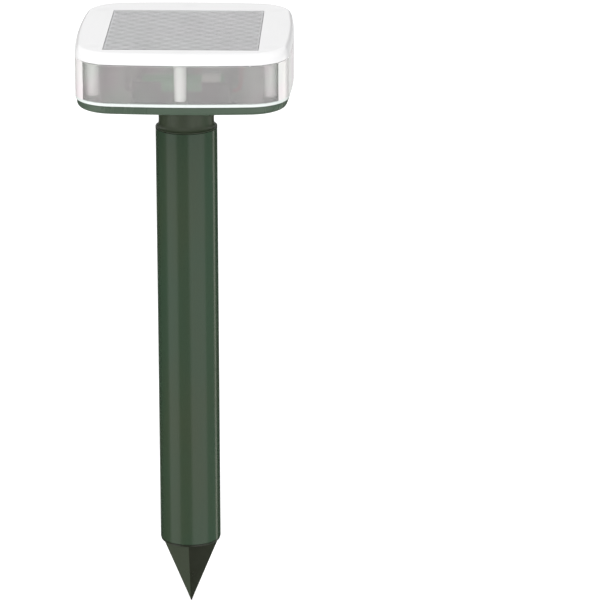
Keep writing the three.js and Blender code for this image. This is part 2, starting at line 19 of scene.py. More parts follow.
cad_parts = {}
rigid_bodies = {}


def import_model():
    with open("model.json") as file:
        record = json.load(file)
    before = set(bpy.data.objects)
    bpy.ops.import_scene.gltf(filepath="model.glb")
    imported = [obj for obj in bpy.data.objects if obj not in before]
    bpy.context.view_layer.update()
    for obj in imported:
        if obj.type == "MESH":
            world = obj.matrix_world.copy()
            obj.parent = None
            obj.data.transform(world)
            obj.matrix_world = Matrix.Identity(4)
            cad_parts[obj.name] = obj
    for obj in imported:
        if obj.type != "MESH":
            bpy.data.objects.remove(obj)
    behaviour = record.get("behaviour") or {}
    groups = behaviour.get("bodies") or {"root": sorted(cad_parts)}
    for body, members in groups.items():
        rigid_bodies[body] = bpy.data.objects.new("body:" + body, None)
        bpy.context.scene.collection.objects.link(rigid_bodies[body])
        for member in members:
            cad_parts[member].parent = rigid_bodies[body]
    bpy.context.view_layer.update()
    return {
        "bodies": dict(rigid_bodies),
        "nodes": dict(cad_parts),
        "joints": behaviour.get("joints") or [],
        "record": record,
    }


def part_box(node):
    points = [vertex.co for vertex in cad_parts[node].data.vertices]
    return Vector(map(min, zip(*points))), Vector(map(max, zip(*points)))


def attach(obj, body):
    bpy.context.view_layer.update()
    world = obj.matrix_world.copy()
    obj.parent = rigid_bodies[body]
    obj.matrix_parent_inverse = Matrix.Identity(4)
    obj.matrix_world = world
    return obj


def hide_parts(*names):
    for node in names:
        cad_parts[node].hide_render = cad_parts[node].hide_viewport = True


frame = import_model()

LOG = logging.getLogger("repeller")
METRES = 0.001

Socket = bpy.types.NodeSocket
Material = bpy.types.Material
Pair = tuple[float, float]
Triple = tuple[float, float, float]
Profile = Sequence[Pair]
Outline = Callable[[float], list[Pair]]


class Body(Enum):
    """The moving bodies of the frame."""

    STAKE = "stake"
    SEAL = "spigot_seal"
    HEAD = "head"
    BUTTON = "button"


# --- Colour and material nodes ---


def tone(red: int, green: int, blue: int) -> Triple:
    """Turns a screen colour into a linear one.

    Args:
        red: Red from 0 to 255.
        green: Green from 0 to 255.
        blue: Blue from 0 to 255.

    Returns:
        The linear colour.
    """
    linear = []
    for channel in (red, green, blue):
        share = channel / 255
        linear.append(share / 12.92 if share <= 0.04045 else ((share + 0.055) / 1.055) ** 2.4)
    return linear[0], linear[1], linear[2]


def scaled(colour: Triple, share: float) -> Triple:
    """A colour made lighter or darker by one factor."""
    return tuple(min(1.0, channel * share) for channel in colour)


class Recipe:
    """The node tree of one material, with the nodes that the finishes share."""

    def __init__(self, name: str) -> None:
        """Starts a material with one Principled shader.

        Args:
            name: The material's name.
        """
        self.material = bpy.data.materials.new(name)
        self.material.use_nodes = True
        self.tree = self.material.node_tree
        self.shader = self.tree.nodes["Principled BSDF"]
        self.place = self.tree.nodes.new("ShaderNodeTexCoord").outputs["Object"]

    def node(self, kind: str, **settings: object) -> bpy.types.Node:
        """Adds a node and sets its properties.

        Args:
            kind: The node's type name.
            settings: Property values of the node.

        Returns:
            The new node.
        """
        made = self.tree.nodes.new(kind)
        for key, value in settings.items():
            setattr(made, key, value)
        return made

    def link(self, source: Socket, target: Socket) -> None:
        """Joins two sockets."""
        self.tree.links.new(source, target)

    def constants(self, **values: object) -> None:
        """Sets plain values on the shader's own sockets, named with underscores for spaces."""
        for key, value in values.items():
            self.shader.inputs[key.replace("_", " ")].default_value = value

    def stretched(self, scale: Triple) -> Socket:
        """The place on the piece, stretched along each axis.

        Args:
            scale: How many pattern units one metre takes along X, Y and Z.

        Returns:
            The stretched place.
        """
        mapping = self.node("ShaderNodeMapping")
        mapping.inputs["Scale"].default_value = scale
        self.link(self.place, mapping.inputs["Vector"])
        return mapping.outputs["Vector"]

    def noise(self, scale: float, detail: float = 3.0, where: Socket | None = None) -> Socket:
        """A noise pattern from 0 to 1.

        Args:
            scale: Blotches to a metre, about.
            detail: How many finer layers it has.
            where: The place it reads, or the plain place on the piece.

        Returns:
            The pattern's value.
        """
        made = self.node("ShaderNodeTexNoise")
        made.inputs["Scale"].default_value = scale
        made.inputs["Detail"].default_value = detail
        self.link(where or self.place, made.inputs["Vector"])
        return made.outputs["Fac"]

    def ranged(self, value: Socket, low: float, high: float, start: float = 0.3, end: float = 0.7) -> Socket:
        """Spreads a value over a range.

        Args:
            value: The value.
            low: The result at start and below.
            high: The result at end and above.
            start: Where the range starts.
            end: Where it ends.

        Returns:
            The spread value.
        """
        made = self.node("ShaderNodeMapRange")
        for key, number in (("From Min", start), ("From Max", end), ("To Min", low), ("To Max", high)):
            made.inputs[key].default_value = number
        self.link(value, made.inputs["Value"])
        return made.outputs["Result"]

    def math(self, operation: str, first: Socket, second: Socket | float) -> Socket:
        """One step of arithmetic.

        Args:
            operation: The Math node's operation.
            first: The first value.
            second: The second value, a socket or a number.

        Returns:
            The result.
        """
        made = self.node("ShaderNodeMath", operation=operation)
        self.link(first, made.inputs[0])
        if isinstance(second, Socket):
            self.link(second, made.inputs[1])
        else:
            made.inputs[1].default_value = second
        return made.outputs["Value"]

    def blend(self, share: Socket, first: Triple | Socket, second: Triple | Socket) -> Socket:
        """Two colours blended by a share.

        Args:
            share: 0 for the first colour and 1 for the second.
            first: The first colour.
            second: The second colour.

        Returns:
            The blended colour.
        """
        made = self.node("ShaderNodeMix", data_type="RGBA")
        self.link(share, made.inputs["Factor"])
        for index, colour in ((6, first), (7, second)):
            if isinstance(colour, Socket):
                self.link(colour, made.inputs[index])
            else:
                made.inputs[index].default_value = (*colour, 1)
        return made.outputs[2]

    def shades(self, pattern: Socket, colour: Triple, low: float, high: float, *span: float) -> Socket:
        """A colour that goes from one multiple of itself to another as a pattern crosses a span."""
        return self.blend(self.ranged(pattern, 0.0, 1.0, *span), scaled(colour, low), scaled(colour, high))

    def colour(self, source: Socket) -> None:
        """Feeds the base colour."""
        self.link(source, self.shader.inputs["Base Color"])

    def roughness(self, source: Socket) -> None:
        """Feeds the roughness."""
        self.link(source, self.shader.inputs["Roughness"])

    def bump(self, height: Socket, depth: float, strength: float = 1.0) -> None:
        """Raises the surface by a pattern.

        Args:
            height: The pattern.
            depth: How deep it is, in millimetres.
            strength: How much of it shows.
        """
        made = self.node("ShaderNodeBump")
        made.inputs["Distance"].default_value = depth * METRES
        made.inputs["Strength"].default_value = strength
        self.link(height, made.inputs["Height"])
        self.link(made.outputs["Normal"], self.shader.inputs["Normal"])

    def axis(self, name: str) -> Socket:
        """One coordinate of the place on the piece, in metres.

        Args:
            name: X, Y or Z.

        Returns:
            The coordinate.
        """
        split = self.node("ShaderNodeSeparateXYZ")
        self.link(self.place, split.inputs["Vector"])
        return split.outputs[name]


# --- Finishes ---


@dataclass(frozen=True)
class Finish:
    """A named finish."""

    name: str

    def lay(self, recipe: Recipe) -> None:
        """Lays out the nodes; each finish has its own way."""
        raise NotImplementedError(recipe)

    def build(self) -> Material:
        """Builds the material.

        Returns:
            The material.
        """
        recipe = Recipe(self.name)
        self.lay(recipe)
        return recipe.material


@dataclass(frozen=True)
class Moulded(Finish):
    """Moulded plastic with faint flow marks, a fine grain and light rub marks."""

    colour: Triple
    gloss_roughness: float = 0.32
    mottling: float = 0.08
    grain: float = 0.012
    grain_scale: float = 2600.0
    rubs: float = 0.06

    def lay(self, recipe: Recipe) -> None:
        """Lays out the nodes.

        Args:
            recipe: Where they go.
        """
        flow = recipe.noise(38.0, 4.0, recipe.stretched((1.0, 1.0, 0.45)))
        fine = recipe.noise(self.grain_scale, 2.0)
        rub = recipe.noise(1.0, 5.0, recipe.stretched((420.0, 90.0, 60.0)))
        recipe.colour(recipe.shades(flow, self.colour, 1 - self.mottling, 1 + self.mottling))
        rough = recipe.ranged(rub, self.gloss_roughness, self.gloss_roughness + self.rubs, 0.5, 0.72)
        recipe.roughness(recipe.math("ADD", rough, recipe.ranged(flow, -0.02, 0.02)))
        recipe.bump(fine, self.grain)
        recipe.constants(IOR=1.49)


@dataclass(frozen=True)
class DrawnTube(Finish):
    """Extruded green plastic tube: long drawing lines, a soft gloss and very faint scuffs near the ground."""

    colour: Triple
    gloss_roughness: float = 0.2
    scuff_height: float = 0.11

    def lay(self, recipe: Recipe) -> None:
        """Lays out the nodes.

        Args:
            recipe: Where they go.
        """
        lines = recipe.noise(1.0, 4.0, recipe.stretched((700.0, 700.0, 5.0)))
        cast = recipe.noise(26.0, 3.0, recipe.stretched((1.0, 1.0, 0.4)))
        fine = recipe.noise(2200.0, 2.0)
        warm = (self.colour[0] * 1.12, self.colour[1] * 0.98, self.colour[2] * 0.96)
        cool = (self.colour[0] * 0.88, self.colour[1] * 1.02, self.colour[2] * 1.08)
        body = recipe.blend(recipe.ranged(cast, 0.0, 1.0), warm, cool)
        low = recipe.ranged(recipe.axis("Z"), 1.0, 0.0, 0.04, self.scuff_height)
        specks = recipe.ranged(recipe.noise(330.0, 6.0), 0.0, 0.08, 0.56, 0.7)
        scuff = recipe.math("MULTIPLY", low, specks)
        recipe.colour(recipe.blend(scuff, body, scaled(self.colour, 1.6)))
        rough = recipe.ranged(lines, self.gloss_roughness - 0.03, self.gloss_roughness + 0.04)
        recipe.roughness(recipe.math("ADD", rough, recipe.math("MULTIPLY", scuff, 0.5)))
        recipe.bump(recipe.math("ADD", lines, recipe.math("MULTIPLY", fine, 0.25)), 0.012)
        recipe.constants(IOR=1.5)


@dataclass(frozen=True)
class SpikePlastic(Finish):
    """Dark moulded plastic of the spike: satin, with fine scratches that grow towards the tip."""

    colour: Triple
    tip_height: float = 0.03

    def lay(self, recipe: Recipe) -> None:
        """Lays out the nodes.

        Args:
            recipe: Where they go.
        """
        flow = recipe.noise(60.0, 4.0)
        scratch = recipe.noise(1.0, 4.0, recipe.stretched((1500.0, 1500.0, 60.0)))
        fine = recipe.noise(2400.0, 2.0)
        low = recipe.ranged(recipe.axis("Z"), 1.0, 0.0, 0.0, self.tip_height)
        worn = recipe.math("MULTIPLY", low, recipe.ranged(scratch, 0.0, 0.45, 0.55, 0.7))
        body = recipe.shades(flow, self.colour, 0.85, 1.12)
        recipe.colour(recipe.blend(worn, body, scaled(self.colour, 1.7)))
        recipe.roughness(
            recipe.math("ADD", recipe.ranged(flow, 0.27, 0.35), recipe.math("MULTIPLY", worn, 0.4))
        )
        recipe.bump(recipe.math("ADD", fine, recipe.math("MULTIPLY", scratch, 0.6)), 0.015)
        recipe.constants(IOR=1.5)


@dataclass(frozen=True)
class WhiteShell(Finish):
    """Glossy white moulded plastic, with a faint sink mark over each post."""

    colour: Triple
    posts: tuple[Pair, ...]
    sink_radius: float = 6.5

    def lay(self, recipe: Recipe) -> None:
        """Lays out the nodes.

        Args:
            recipe: Where they go.
        """
        flow = recipe.noise(30.0, 3.0)
        fine = recipe.noise(2600.0, 2.0)
        dip = None
        for x, y in self.posts:
            mapping = recipe.node("ShaderNodeMapping", vector_type="TEXTURE")
            mapping.inputs["Location"].default_value = (x * METRES, y * METRES, 0)
            mapping.inputs["Scale"].default_value = (1, 1, 1000)
            recipe.link(recipe.place, mapping.inputs["Vector"])
            length = recipe.node("ShaderNodeVectorMath", operation="LENGTH")
            recipe.link(mapping.outputs["Vector"], length.inputs[0])
            ring = recipe.ranged(length.outputs["Value"], 1.0, 0.0, 0.002, self.sink_radius * METRES)
            dip = ring if dip is None else recipe.math("MAXIMUM", dip, ring)
        shade = recipe.math("ADD", recipe.ranged(flow, 0.0, 0.5), recipe.math("MULTIPLY", dip, 0.5))
        recipe.colour(recipe.blend(shade, self.colour, scaled(self.colour, 0.965)))
        recipe.roughness(recipe.ranged(flow, 0.2, 0.27))
        height = recipe.math("SUBTRACT", recipe.math("MULTIPLY", fine, 0.06), dip)
        recipe.bump(height, 0.06)
        recipe.constants(IOR=1.49)


@dataclass(frozen=True)
class FrostedClear(Finish):
    """Clear plastic frosted inside: milky, blurring what is behind it, with a faint change of tint."""

    colour: Triple
    clearness: float
    blur: float

    def lay(self, recipe: Recipe) -> None:
        """Lays out the nodes.

        Args:
            recipe: Where they go.
        """
        cast = recipe.noise(34.0, 2.0)
        drift = recipe.noise(21.0, 1.0, recipe.stretched((1.0, 1.0, 0.6)))
        fine = recipe.noise(1900.0, 2.0)
        rosy = (self.colour[0], self.colour[1] * 0.955, self.colour[2] * 0.975)
        leafy = (self.colour[0] * 0.955, self.colour[1], self.colour[2] * 0.965)
        tinted = recipe.blend(recipe.ranged(cast, 0.0, 1.0, 0.42, 0.6), rosy, leafy)
        recipe.colour(recipe.blend(recipe.ranged(drift, 0.0, 1.0, 0.35, 0.65), tinted, self.colour))
        recipe.roughness(recipe.ranged(cast, self.blur - 0.03, self.blur + 0.04))
        recipe.bump(fine, 0.006)
        recipe.constants(IOR=1.49, Transmission_Weight=self.clearness, Coat_Weight=0.5, Coat_Roughness=0.06)


@dataclass(frozen=True)
class PanelGlass(Finish):
    """The panel's clear cover, with a very slight ripple and a film of handling marks."""

    def lay(self, recipe: Recipe) -> None:
        """Lays out the nodes.

        Args:
            recipe: Where they go.
        """
        marks = recipe.noise(55.0, 5.0)
        recipe.colour(recipe.blend(recipe.ranged(marks, 0.0, 1.0), (0.97, 0.975, 0.98), (0.93, 0.935, 0.94)))
        recipe.roughness(recipe.ranged(marks, 0.02, 0.09, 0.45, 0.75))
        recipe.bump(recipe.noise(140.0, 2.0), 0.004)
        recipe.constants(IOR=1.25, Transmission_Weight=1.0)


@dataclass(frozen=True)
class CellGrey(Finish):
    """Grey solar cells: crystal grain under a fine woven pattern of bright and dark dashes."""

    colour: Triple
    dash: float = 6.0
    row: float = 5.0
    contrast: float = 0.75

    def lay(self, recipe: Recipe) -> None:
        """Lays out the nodes.

        Args:
            recipe: Where they go.
        """
        waves = None
        for name, pitch in (("X", self.dash), ("Y", self.row)):
            turn = recipe.math("MULTIPLY", recipe.axis(name), math.pi / (pitch * METRES))
            wander = recipe.math("MULTIPLY", recipe.ranged(recipe.noise(28.0, 2.0), -1.0, 1.0), 0.5)
            wave = recipe.math("SINE", recipe.math("ADD", turn, wander), 0.0)
            waves = wave if waves is None else recipe.math("MULTIPLY", waves, wave)
        grain = recipe.node("ShaderNodeTexVoronoi")
        grain.inputs["Scale"].default_value = 420.0
        recipe.link(recipe.place, grain.inputs["Vector"])
        flake = recipe.node("ShaderNodeSeparateColor")
        recipe.link(grain.outputs["Color"], flake.inputs["Color"])
        light = recipe.math(
            "ADD", recipe.ranged(waves, 0.12, 0.88, -1.0, 1.0),
            recipe.ranged(flake.outputs["Red"], -0.1, 0.1, 0.0, 1.0),
        )
        cast = recipe.ranged(recipe.noise(17.0, 1.0), 0.0, 1.0, 0.4, 0.6)
        rosy = (self.colour[0] * 1.02, self.colour[1] * 0.985, self.colour[2] * 1.01)
        cool = (self.colour[0] * 0.985, self.colour[1] * 1.01, self.colour[2] * 0.99)
        middle = recipe.blend(cast, rosy, cool)
        dark = recipe.blend(cast, scaled(rosy, 1 - self.contrast), scaled(cool, 1 - self.contrast))
        bright = recipe.blend(cast, scaled(rosy, 1 + self.contrast), scaled(cool, 1 + self.contrast))
        lower = recipe.blend(recipe.ranged(light, 0.0, 1.0, 0.0, 0.5), dark, middle)
        recipe.colour(recipe.blend(recipe.ranged(light, 0.0, 1.0, 0.5, 1.0), lower, bright))
        recipe.roughness(recipe.ranged(flake.outputs["Green"], 0.35, 0.5, 0.0, 1.0))
        recipe.bump(light, 0.02)


@dataclass(frozen=True)
class Metal(Finish):
    """Bare or plated metal, with tool marks along one axis and a slight stain."""

    colour: Triple
    gloss_roughness: float = 0.28
    marks: Triple = (900.0, 900.0, 60.0)

    def lay(self, recipe: Recipe) -> None:
        """Lays out the nodes.

        Args:
            recipe: Where they go.
        """
        tool = recipe.noise(1.0, 3.0, recipe.stretched(self.marks))
        stain = recipe.noise(240.0, 4.0)
        recipe.colour(recipe.shades(stain, self.colour, 1.0, 0.78, 0.35, 0.75))
        recipe.roughness(recipe.ranged(tool, self.gloss_roughness - 0.06, self.gloss_roughness + 0.1))
        recipe.bump(tool, 0.01)
        recipe.constants(Metallic=1.0)


@dataclass(frozen=True)
class CircuitBoard(Finish):
    """Green solder mask over copper tracks, which show as slightly raised lighter lines."""

    colour: Triple

    def lay(self, recipe: Recipe) -> None:
        """Lays out the nodes.

        Args:
            recipe: Where they go.
        """
        tracks = recipe.node(
            "ShaderNodeTexBrick", offset=0.37, offset_frequency=3, squash=0.6, squash_frequency=2
        )
        tracks.inputs["Scale"].default_value = 1.0
        tracks.inputs["Mortar Size"].default_value = 0.06
        tracks.inputs["Brick Width"].default_value = 1.7
        tracks.inputs["Row Height"].default_value = 0.55
        recipe.link(recipe.stretched((170.0, 170.0, 170.0)), tracks.inputs["Vector"])
        mask = recipe.noise(900.0, 2.0)
        body = recipe.shades(mask, self.colour, 0.9, 1.1)
        recipe.colour(recipe.blend(tracks.outputs["Fac"], body, scaled(self.colour, 1.9)))
        recipe.roughness(recipe.ranged(mask, 0.28, 0.42))
        recipe.bump(recipe.math("ADD", tracks.outputs["Fac"], recipe.math("MULTIPLY", mask, 0.2)), 0.03)


@dataclass(frozen=True)
class Soft(Finish):
    """Foam or rubber: matt, with pores of the given scale."""

    colour: Triple
    pores: float = 1500.0
    depth: float = 0.05
    dullness: float = 0.85

    def lay(self, recipe: Recipe) -> None:
        """Lays out the nodes.

        Args:
            recipe: Where they go.
        """
        pores = recipe.node("ShaderNodeTexVoronoi")
        pores.inputs["Scale"].default_value = self.pores
        recipe.link(recipe.place, pores.inputs["Vector"])
        bloom = recipe.noise(90.0, 4.0)
        recipe.colour(recipe.shades(bloom, self.colour, 0.85, 1.35))
        recipe.roughness(recipe.ranged(bloom, self.dullness - 0.1, self.dullness + 0.05))
        recipe.bump(pores.outputs["Distance"], self.depth)


@dataclass(frozen=True)
class Sleeve(Finish):
    """A printed plastic sleeve round a cell or capacitor: a main colour with a plain band of another."""

    colour: Triple
    band: Triple
    axis: str
    band_from: float
    band_to: float

    def lay(self, recipe: Recipe) -> None:
        """Lays out the nodes.

        Args:
            recipe: Where they go.
        """
        along = recipe.axis(self.axis)
        edge = 0.0001
        start, end = self.band_from * METRES, self.band_to * METRES
        rise = recipe.ranged(along, 0.0, 1.0, start - edge, start + edge)
        fall = recipe.ranged(along, 1.0, 0.0, end - edge, end + edge)
        crease = recipe.noise(120.0, 4.0)
        main = recipe.shades(crease, self.colour, 0.92, 1.08)
        recipe.colour(recipe.blend(recipe.math("MULTIPLY", rise, fall), main, self.band))
        recipe.roughness(recipe.ranged(crease, 0.25, 0.36))
        recipe.bump(crease, 0.03)


class Finishes:
    """Every finish of the repeller, built once."""

    def __init__(self, posts: Iterable[Pair], cell_left: float, capacitor_low: float) -> None:
        """Builds the materials.

        Args:
            posts: Where the top shell's posts are.
            cell_left: The X of the cell's flat end, in millimetres.
            capacitor_low: The Z of the capacitor's foot, in millimetres.
        """
        self.tube = DrawnTube("tube_green", tone(53, 69, 52)).build()
        self.tray = Moulded("tray_green", tone(78, 93, 79), 0.28).build()
        self.collar = Moulded("collar_green", tone(62, 71, 54), 0.34).build()
        self.spike = SpikePlastic("spike_green", tone(41, 45, 34)).build()
        # Painted light: the posts are the same white plastic as the shell, painted much brighter so that they
        # glow through the frosted band
        self.post = Moulded("shell_post", (0.97, 0.97, 0.975), 0.3, 0.02, 0.006).build()
        self.shell = WhiteShell("shell_white", (0.825, 0.823, 0.827), tuple(posts)).build()
        self.band = FrostedClear("band_frosted", (0.96, 0.945, 0.94), 0.85, 0.2).build()
        # Painted highlight: the band's sides and corners get a milkier, whiter finish that stands in for the
        # glow they show at a grazing view
        self.band_side = FrostedClear("band_side", (1.0, 0.965, 0.97), 0.22, 0.24).build()
        # Painted highlight: the band's foot is painted an opaque pale colour for the line of light that its
        # lower edge catches
        self.band_foot = Moulded("band_foot", (0.72, 0.77, 0.75), 0.25, 0.03, 0.006).build()
        self.glass = PanelGlass("panel_glass").build()
        self.cells = CellGrey("cell_grey", (0.27, 0.266, 0.268)).build()
        self.fingers = Metal("finger_silver", (0.4, 0.4, 0.41), 0.4, (60.0, 900.0, 900.0)).build()
        self.board = CircuitBoard("board_green", tone(40, 98, 58)).build()
        self.panel_board = CircuitBoard("board_pale", tone(158, 158, 160)).build()
        self.black = Moulded("black_moulding", tone(34, 34, 36), 0.45, 0.12, 0.03, 1800.0).build()
        self.rubber = Soft("seal_rubber", tone(36, 36, 37), 2600.0, 0.012, 0.6).build()
        self.foam = Soft("foam_dark", tone(66, 66, 68), 1500.0, 0.12, 0.9).build()
        self.steel = Metal("steel_plated", (0.62, 0.63, 0.65)).build()
        self.copper = Metal("copper_wire", (0.78, 0.42, 0.24), 0.25).build()
        self.solder = Metal("solder_tin", (0.7, 0.7, 0.69), 0.22).build()
        self.film = Moulded("sounder_film", tone(196, 186, 160), 0.22, 0.05, 0.02).build()
        self.red = Moulded("lead_red", tone(186, 34, 34), 0.38, 0.06, 0.01).build()
        self.dark = Moulded("lead_black", tone(28, 28, 30), 0.38, 0.1, 0.01).build()
        self.mark = Moulded("mark_pale", tone(206, 208, 206), 0.4, 0.04, 0.01).build()
        self.cell = Sleeve(
            "cell_sleeve", tone(58, 132, 84), tone(208, 212, 206), "X", cell_left + 36, cell_left + 47.5
        ).build()
        low = capacitor_low
        self.capacitor = Sleeve(
            "capacitor_sleeve", tone(36, 46, 84), tone(190, 196, 204), "Z", low + 8.2, low + 9.4
        ).build()


# --- Shapes ---


def circle(segments: int) -> Outline:
    """A round outline.

    Args:
        segments: How many sides it has.

    Returns:
        A function from a radius to the outline's points, a single one at radius 0.
    """

    def points(radius: float) -> list[Pair]:
        """The outline at one radius.

        Args:
            radius: The radius.

        Returns:
            The points.
        """
        if radius < 1e-6:
            return [(0.0, 0.0)]
        turns = [index * math.tau / segments for index in range(segments)]
        return [(radius * math.cos(turn), radius * math.sin(turn)) for turn in turns]

    return points


def filleted(profile: Profile, radius: float, steps: int = 4, looped: bool = True) -> list[Pair]:
    """Rounds the corners of a profile.

    Args:
        profile: The corners.
        radius: The rounding, made smaller where a side is short.
        steps: How many sides each rounding has.
        looped: Whether the last corner joins the first; otherwise the two ends stay sharp.

    Returns:
        The rounded profile.
    """
    rounded: list[Pair] = []
    count = len(profile)
    for index, corner in enumerate(profile):
        here = Vector(corner)
        if not looped and index in (0, count - 1):
            rounded.append(corner)
            continue
        before = Vector(profile[index - 1]) - here
        after = Vector(profile[(index + 1) % count]) - here
        opening = before.angle(after)
        if opening > math.pi - 0.02 or radius <= 0:
            rounded.append(corner)
            continue
        reach = min(radius / math.tan(opening / 2), before.length * 0.45, after.length * 0.45)
        inner = reach * math.tan(opening / 2)
        middle = (before.normalized() + after.normalized()).normalized()
        centre = here + middle * (inner / math.sin(opening / 2))
        start = here + before.normalized() * reach - centre
        end = here + after.normalized() * reach - centre
        first = math.atan2(start.y, start.x)
        sweep = (math.atan2(end.y, end.x) - first + math.pi) % math.tau - math.pi
        for step in range(steps + 1):
            turn = first + sweep * step / steps
            rounded.append((centre.x + inner * math.cos(turn), centre.y + inner * math.sin(turn)))
    return rounded


def quarter(wide: float, high: float, centre: Pair, steps: int, rising: bool) -> list[Pair]:
    """A quarter of an ellipse between a flat face and an upright wall.

    Args:
        wide: Its size across.
        high: Its size up.
        centre: The ellipse's centre, as an offset and a height.
        steps: How many sides it has.
        rising: Whether it runs from the wall up to the flat face, or down to it.

    Returns:
        The points, from the wall to the flat face.
    """
    points = []
    for step in range(steps + 1):
        turn = step / steps * math.pi / 2
        height = high * math.sin(turn) * (1 if rising else -1)
        points.append((centre[0] - wide * math.cos(turn), centre[1] + height))
    return points


class Shape:
    """A closed mesh in the making, in millimetres."""

    def __init__(self) -> None:
        """Starts with an empty mesh."""
        self.mesh = bmesh.new()

    @classmethod
    def taken(cls, data: bpy.types.Mesh) -> "Shape":
        """Takes mesh data over as a shape.

        Args:
            data: The mesh data, which is then removed.

        Returns:
            The shape.
        """
        shape = cls()
        shape.mesh.from_mesh(data)
        bpy.data.meshes.remove(data)
        return shape

    @classmethod
    def swept(cls, outline: Outline, profile: Profile, looped: bool = False) -> "Shape":
        """A profile carried round an outline, as on a lathe.

        Args:
            outline: Gives the points of the outline at an offset.
            profile: Pairs of an offset and a height.
            looped: Whether the profile closes on itself; otherwise its two ends are capped.

        Returns:
            The shape.
        """
        shape = cls()
        rings = []
        for offset, height in profile:
            rings.append([shape.mesh.verts.new((x, y, height)) for x, y in outline(offset)])
        pairs = list(zip(rings, rings[1:]))
        if looped:
            pairs.append((rings[-1], rings[0]))
        for lower, upper in pairs:
            shape.bridge(lower, upper)
        if not looped:
            for ring in (rings[0], rings[-1]):
                if len(ring) > 2:
                    shape.mesh.faces.new(ring)
        bmesh.ops.recalc_face_normals(shape.mesh, faces=shape.mesh.faces)
        return shape

    def bridge(self, lower: list[bmesh.types.BMVert], upper: list[bmesh.types.BMVert]) -> None:
        """Fills between two rings, either of which may be a single point.

        Args:
            lower: The first ring.
            upper: The second ring.
        """
        count = max(len(lower), len(upper))
        for index in range(count):
            following = (index + 1) % count
            if len(lower) == 1 and len(upper) == 1:
                return
            if len(lower) == 1:
                corners = (lower[0], upper[following], upper[index])
            elif len(upper) == 1:
                corners = (lower[index], lower[following], upper[0])
            else:
                corners = (lower[index], lower[following], upper[following], upper[index])
            self.mesh.faces.new(corners)

    @classmethod
    def block(cls, width: float, depth: float, bottom: float, top: float, edge: float = 0.0) -> "Shape":
        """An upright block about the vertical axis, with bevelled edges.

        Args:
            width: Its size along X.
            depth: Its size along Y.
            bottom: Its lowest height.
            top: Its highest height.
            edge: The width of the bevels.

        Returns:
            The shape.
        """
        shape = cls()
        size = Matrix.Diagonal((width, depth, top - bottom, 1))
        bmesh.ops.create_cube(
            shape.mesh, size=1, matrix=Matrix.Translation((0, 0, (top + bottom) / 2)) @ size
        )
        if edge > 0:
            bmesh.ops.bevel(
                shape.mesh, geom=shape.mesh.edges[:], offset=edge, segments=2, affect="EDGES", profile=0.5
            )
        return shape

    @classmethod
    def bar(cls, radius: float, bottom: float, top: float, segments: int = 32, edge: float = 0.0) -> "Shape":
        """An upright round bar from one height to another, with ends rounded by edge."""
        profile = [(0.0, bottom), (radius, bottom), (radius, top), (0.0, top)]
        return cls.swept(circle(segments), filleted(profile, edge, 3, looped=False))

    @classmethod
    def piped(cls, points: Sequence[Vector], radius: float, sides: int = 14) -> "Shape":
        """A round wire along a line of points.

        Args:
            points: The line, close enough together to look smooth.
            radius: The wire's radius.
            sides: How many sides its section has.

        Returns:
            The shape.
        """
        shape = cls()
        rings = []
        across = None
        for index, point in enumerate(points):
            ahead = points[min(index + 1, len(points) - 1)] - points[max(index - 1, 0)]
            ahead.normalize()
            if across is None:
                across = ahead.orthogonal()
            across = (across - ahead * across.dot(ahead)).normalized()
            other = ahead.cross(across)
            ring = []
            for side in range(sides):
                turn = side * math.tau / sides
                place = point + across * (radius * math.cos(turn)) + other * (radius * math.sin(turn))
                ring.append(shape.mesh.verts.new(place))
            rings.append(ring)
        for lower, upper in zip(rings, rings[1:]):
            shape.bridge(lower, upper)
        shape.mesh.faces.new(rings[0])
        shape.mesh.faces.new(rings[-1])
        bmesh.ops.recalc_face_normals(shape.mesh, faces=shape.mesh.faces)
        return shape

    def moved(self, x: float = 0.0, y: float = 0.0, z: float = 0.0) -> "Shape":
        """Moves the shape and returns it."""
        bmesh.ops.translate(self.mesh, verts=self.mesh.verts, vec=(x, y, z))
        return self

    def turned(self, angle: float, axis: str) -> "Shape":
        """Turns the shape about an axis through the origin.

        Args:
            angle: The turn in degrees.
            axis: X, Y or Z.

        Returns:
            The same shape.
        """
        spin = Matrix.Rotation(math.radians(angle), 3, axis)
        bmesh.ops.rotate(self.mesh, verts=self.mesh.verts, cent=(0, 0, 0), matrix=spin)
        return self

    def painted(self, index: int, where: Callable[[Vector], bool] | None = None) -> "Shape":
        """Gives faces one of the piece's materials.

        Args:
            index: The material's place in the piece's list.
            where: Tells from a face's centre whether it takes the material; otherwise all do.

        Returns:
            The shape.
        """
        for face in self.mesh.faces:
            if where is None or where(face.calc_center_median()):
                face.material_index = index
        return self

    def joined(self, others: Iterable["Shape"]) -> "Shape":
        """Puts other shapes in the same mesh, as shells of their own.

        Args:
            others: The shapes.

        Returns:
            The shape.
        """
        for other in others:
            part = bpy.data.meshes.new("part")
            other.mesh.to_mesh(part)
            self.mesh.from_mesh(part)
            bpy.data.meshes.remove(part)
        return self

    def data(self) -> bpy.types.Mesh:
        """The shape as mesh data, still in millimetres.

        Returns:
            The mesh data.
        """
        made = bpy.data.meshes.new("shape")
        self.mesh.to_mesh(made)
        return made

    def combined(self, add: Sequence["Shape"] = (), cut: Sequence["Shape"] = ()) -> "Shape":
        """Joins shapes to this one and then cuts others from it.

        Args:
            add: Shapes that join it. They don't touch each other.
            cut: Shapes that are cut from it. They don't touch each other.

        Returns:
            The new shape.
        """
        target = Workshop.shown("target", self.data())
        tools = []
        for operation, group in (("UNION", add), ("DIFFERENCE", cut)):
            if not group:
                continue
            tool = Workshop.shown(operation.lower(), Shape().joined(group).data())
            tools.append(tool)
            change = target.modifiers.new(operation, "BOOLEAN")
            change.operation = operation
            change.solver = "EXACT"
            change.object = tool
        result = Shape.taken(Workshop.evaluated(target))
        for used in [target, *tools]:
            Workshop.discard(used)
        bmesh.ops.remove_doubles(result.mesh, verts=result.mesh.verts, dist=1e-4)
        bmesh.ops.dissolve_degenerate(result.mesh, edges=result.mesh.edges, dist=1e-5)
        return result


